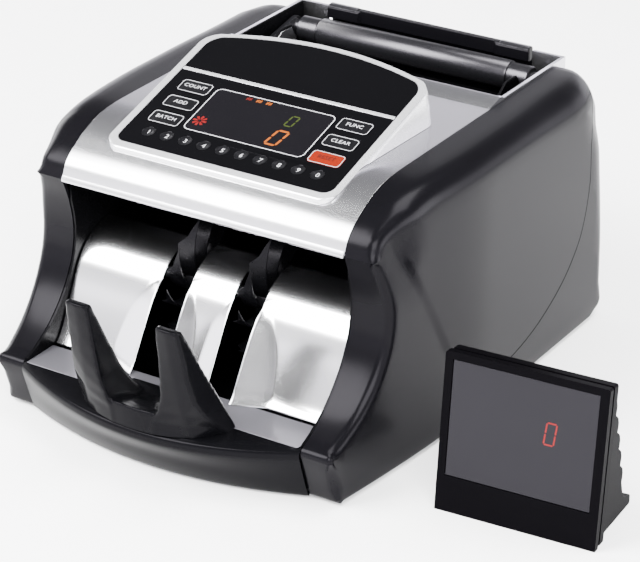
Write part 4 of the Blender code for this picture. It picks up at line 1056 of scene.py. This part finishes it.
def make_remote():
    half, deep, tall = 50.0, 13.5, 98.2
    front = flat("front", [rounded_box(-half, -4.0, half, tall, 1.6, 6)], 4.6, moved(0, 2.3, 0) @ FRONT_VIEW)
    housing = thing("remote_front", front, "remote", LEANING)
    rear = flat("rear", [rounded_box(-half + 0.6, -4.0, half - 0.6, tall - 0.6, 1.6, 6)], 5.5,
            moved(0, 10.75, 0) @ FRONT_VIEW)
    neck = flat("neck", [rounded_box(-half + 3.0, -4.0, half - 3.0, tall - 3.0, 1.0, 4)], 6.0,
            moved(0, 6.2, 0) @ FRONT_VIEW)
    combine(housing, [rear, neck], "UNION", LEANING)
    recess = box("recess", (-45.2, -5.0, 22.4), (44.6, 1.2, 93.8))
    combine(housing, [recess], where=LEANING)
    combine(housing, [box("ground", (-80.0, -40.0, -20.0), (80.0, 100.0, 0.05))], where=REMOTE)
    bevel(housing, 0.5, 3)
    done(housing, "remote_display", "remote_housing", slot="remote_black")
    pane = box("pane", (-44.9, 0.45, 22.7), (44.3, 1.1, 93.5))
    window = bevel(thing("remote_window_fine", pane, "smoke", LEANING), 0.2, 2)
    done(window, "remote_display", "remote_window", slot="window_smoke")
    face = LEANING @ Matrix.Translation(Vector((0, 0.45, 0)) * MM) @ FRONT_VIEW
    segment_digit("remote_digit", (16.9, 63.3), 6.0, 13.2, 1.0, 0.1, "abcdef", "red", face,
            "remote_display", 0.05)

    slope = math.tan(REMOTE_LEAN)
    back = deep / math.cos(REMOTE_LEAN) + 0.3
    ribs = [(back + 92.0 * slope, 92.0), (back + 92.0 * slope + 2.0, 91.6), (27.0, 85.0)]
    for i in range(5):
        z, y = 78.0 - 12.5 * i, 28.4 + 3.5 * i
        ribs += [(y + 0.2, z + 5.0), (y + 2.6, z + 2.6), (y + 3.6, z - 0.8), (y + 3.0, z - 4.0),
                (y + 2.2, z - 6.4)]
    outline = [(back, 0.3)] + ribs + [(46.8, 14.0), (49.0, 9.6), (52.0, 7.6), (58.0, 6.6), (59.3, 5.0),
            (59.3, 1.6), (58.4, 0.3)]
    stand = thing("remote_stand_fine", flat("stand", [outline], 93.0, SIDE_VIEW), "remote", REMOTE)
    bevel(stand, 0.9, 3)
    done(stand, "remote_display", "remote_stand", slot="remote_black")


# ---- what the frame keeps

def dress_nodes():
    """Nodes whose shape is right keep it, and take a finished material."""
    looks = {"frame": ("base_plate", "side_frame_left", "side_frame_right"),
            "board": ("console_board", "main_board"),
            "steel": ("impeller_shaft", "drive_motor", "motor_pulley", "power_supply"),
            "rubber": ("feed_roller", "pickup_roller", "drive_belt", "foot_front_left",
                       "foot_front_right", "foot_rear_left", "foot_rear_right")}
    for look, names in looks.items():
        for name in names:
            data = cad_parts[name].data
            data.materials.clear()
            data.materials.append(M[look])
            shade(data, 35.0)


# ---- studio

def area_light(name, at, target, size, power):
    data = bpy.data.lights.new(name, "AREA")
    data.shape = "RECTANGLE"
    data.size, data.size_y = size
    data.energy = power
    light = bpy.data.objects.new(name, data)
    light.location = at
    light.rotation_euler = (Vector(target) - Vector(at)).to_track_quat("-Z", "Y").to_euler()
    SCENE.objects.link(light)


def make_world():
    """White walls near the horizon that fade to a dark ceiling above them."""
    world = bpy.data.worlds.new("studio")
    world.use_nodes = True
    nodes, links = world.node_tree.nodes, world.node_tree.links
    place = nodes.new("ShaderNodeTexCoord")
    split = nodes.new("ShaderNodeSeparateXYZ")
    links.new(place.outputs["Generated"], split.inputs["Vector"])
    ramp = nodes.new("ShaderNodeValToRGB")
    levels = ramp.color_ramp
    levels.interpolation = "EASE"
    levels.elements[0].position = 0.0
    levels.elements[0].color = (0.75, 0.74, 0.8, 1.0)
    levels.elements[1].position = 1.0
    levels.elements[1].color = (0.02, 0.02, 0.022, 1.0)
    for at, value in ((0.2, 0.8), (0.36, 0.2), (0.5, 0.045)):
        step = levels.elements.new(at)
        step.color = (value, value * 0.985, value * 1.05, 1.0)
    links.new(split.outputs["Z"], ramp.inputs["Fac"])
    back = nodes["Background"]
    links.new(ramp.outputs["Color"], back.inputs["Color"])
    back.inputs["Strength"].default_value = 7.0
    bpy.context.scene.world = world


def make_studio():
    rows = [[(x, y, 0.0) for y in (-4000.0, 0.0, 4000.0)] for x in (-4000.0, 0.0, 4000.0)]
    ground = thing("studio_floor", grid("ground", rows), None, Matrix.Identity(4), smooth=0)
    paper = material("studio_paper", (0.92, 0.92, 0.92), 0.8, mottle=0.01, fine=60.0, bump=0.0, specular=0.1)
    ground.data.materials.append(paper)
    make_world()
    area_light("key_front", (-0.85, -1.0, 1.35), (0.0, -0.1, 0.1), (1.1, 1.1), 165.0)
    area_light("fill_front", (1.7, -1.9, 1.9), (0.05, 0.0, 0.0), (1.8, 1.8), 300.0)
    area_light("overhead", (0.5, 0.6, 2.6), (0.1, 0.1, 0.0), (1.6, 1.6), 190.0)
    area_light("right_wall", (1.9, 0.6, 0.55), (0.1, 0.0, 0.1), (1.6, 0.9), 75.0)
    area_light("left_wall", (-1.9, 0.3, 0.8), (0.0, 0.0, 0.1), (1.4, 1.0), 60.0)


def make_camera():
    data = bpy.data.cameras.new("camera")
    data.sensor_width = 36.0
    data.lens = 149.8
    data.clip_end = 50.0
    camera = bpy.data.objects.new("camera", data)
    at = FRAME @ (Vector((813.6, -1152.6, 793.7)) * MM)
    target = FRAME @ (Vector((83.1, 0.0, 120.2)) * MM)
    camera.location = at
    camera.rotation_euler = (target - at).to_track_quat("-Z", "Y").to_euler()
    SCENE.objects.link(camera)
    bpy.context.scene.camera = camera


make_camera()
make_casing()
make_top_cover()
make_console()
make_tray()
make_deflectors()
make_outlet()
make_wheels()
make_stopper()
make_hopper()
make_handle()
make_door()
make_rear()
make_remote()
dress_nodes()
make_studio()
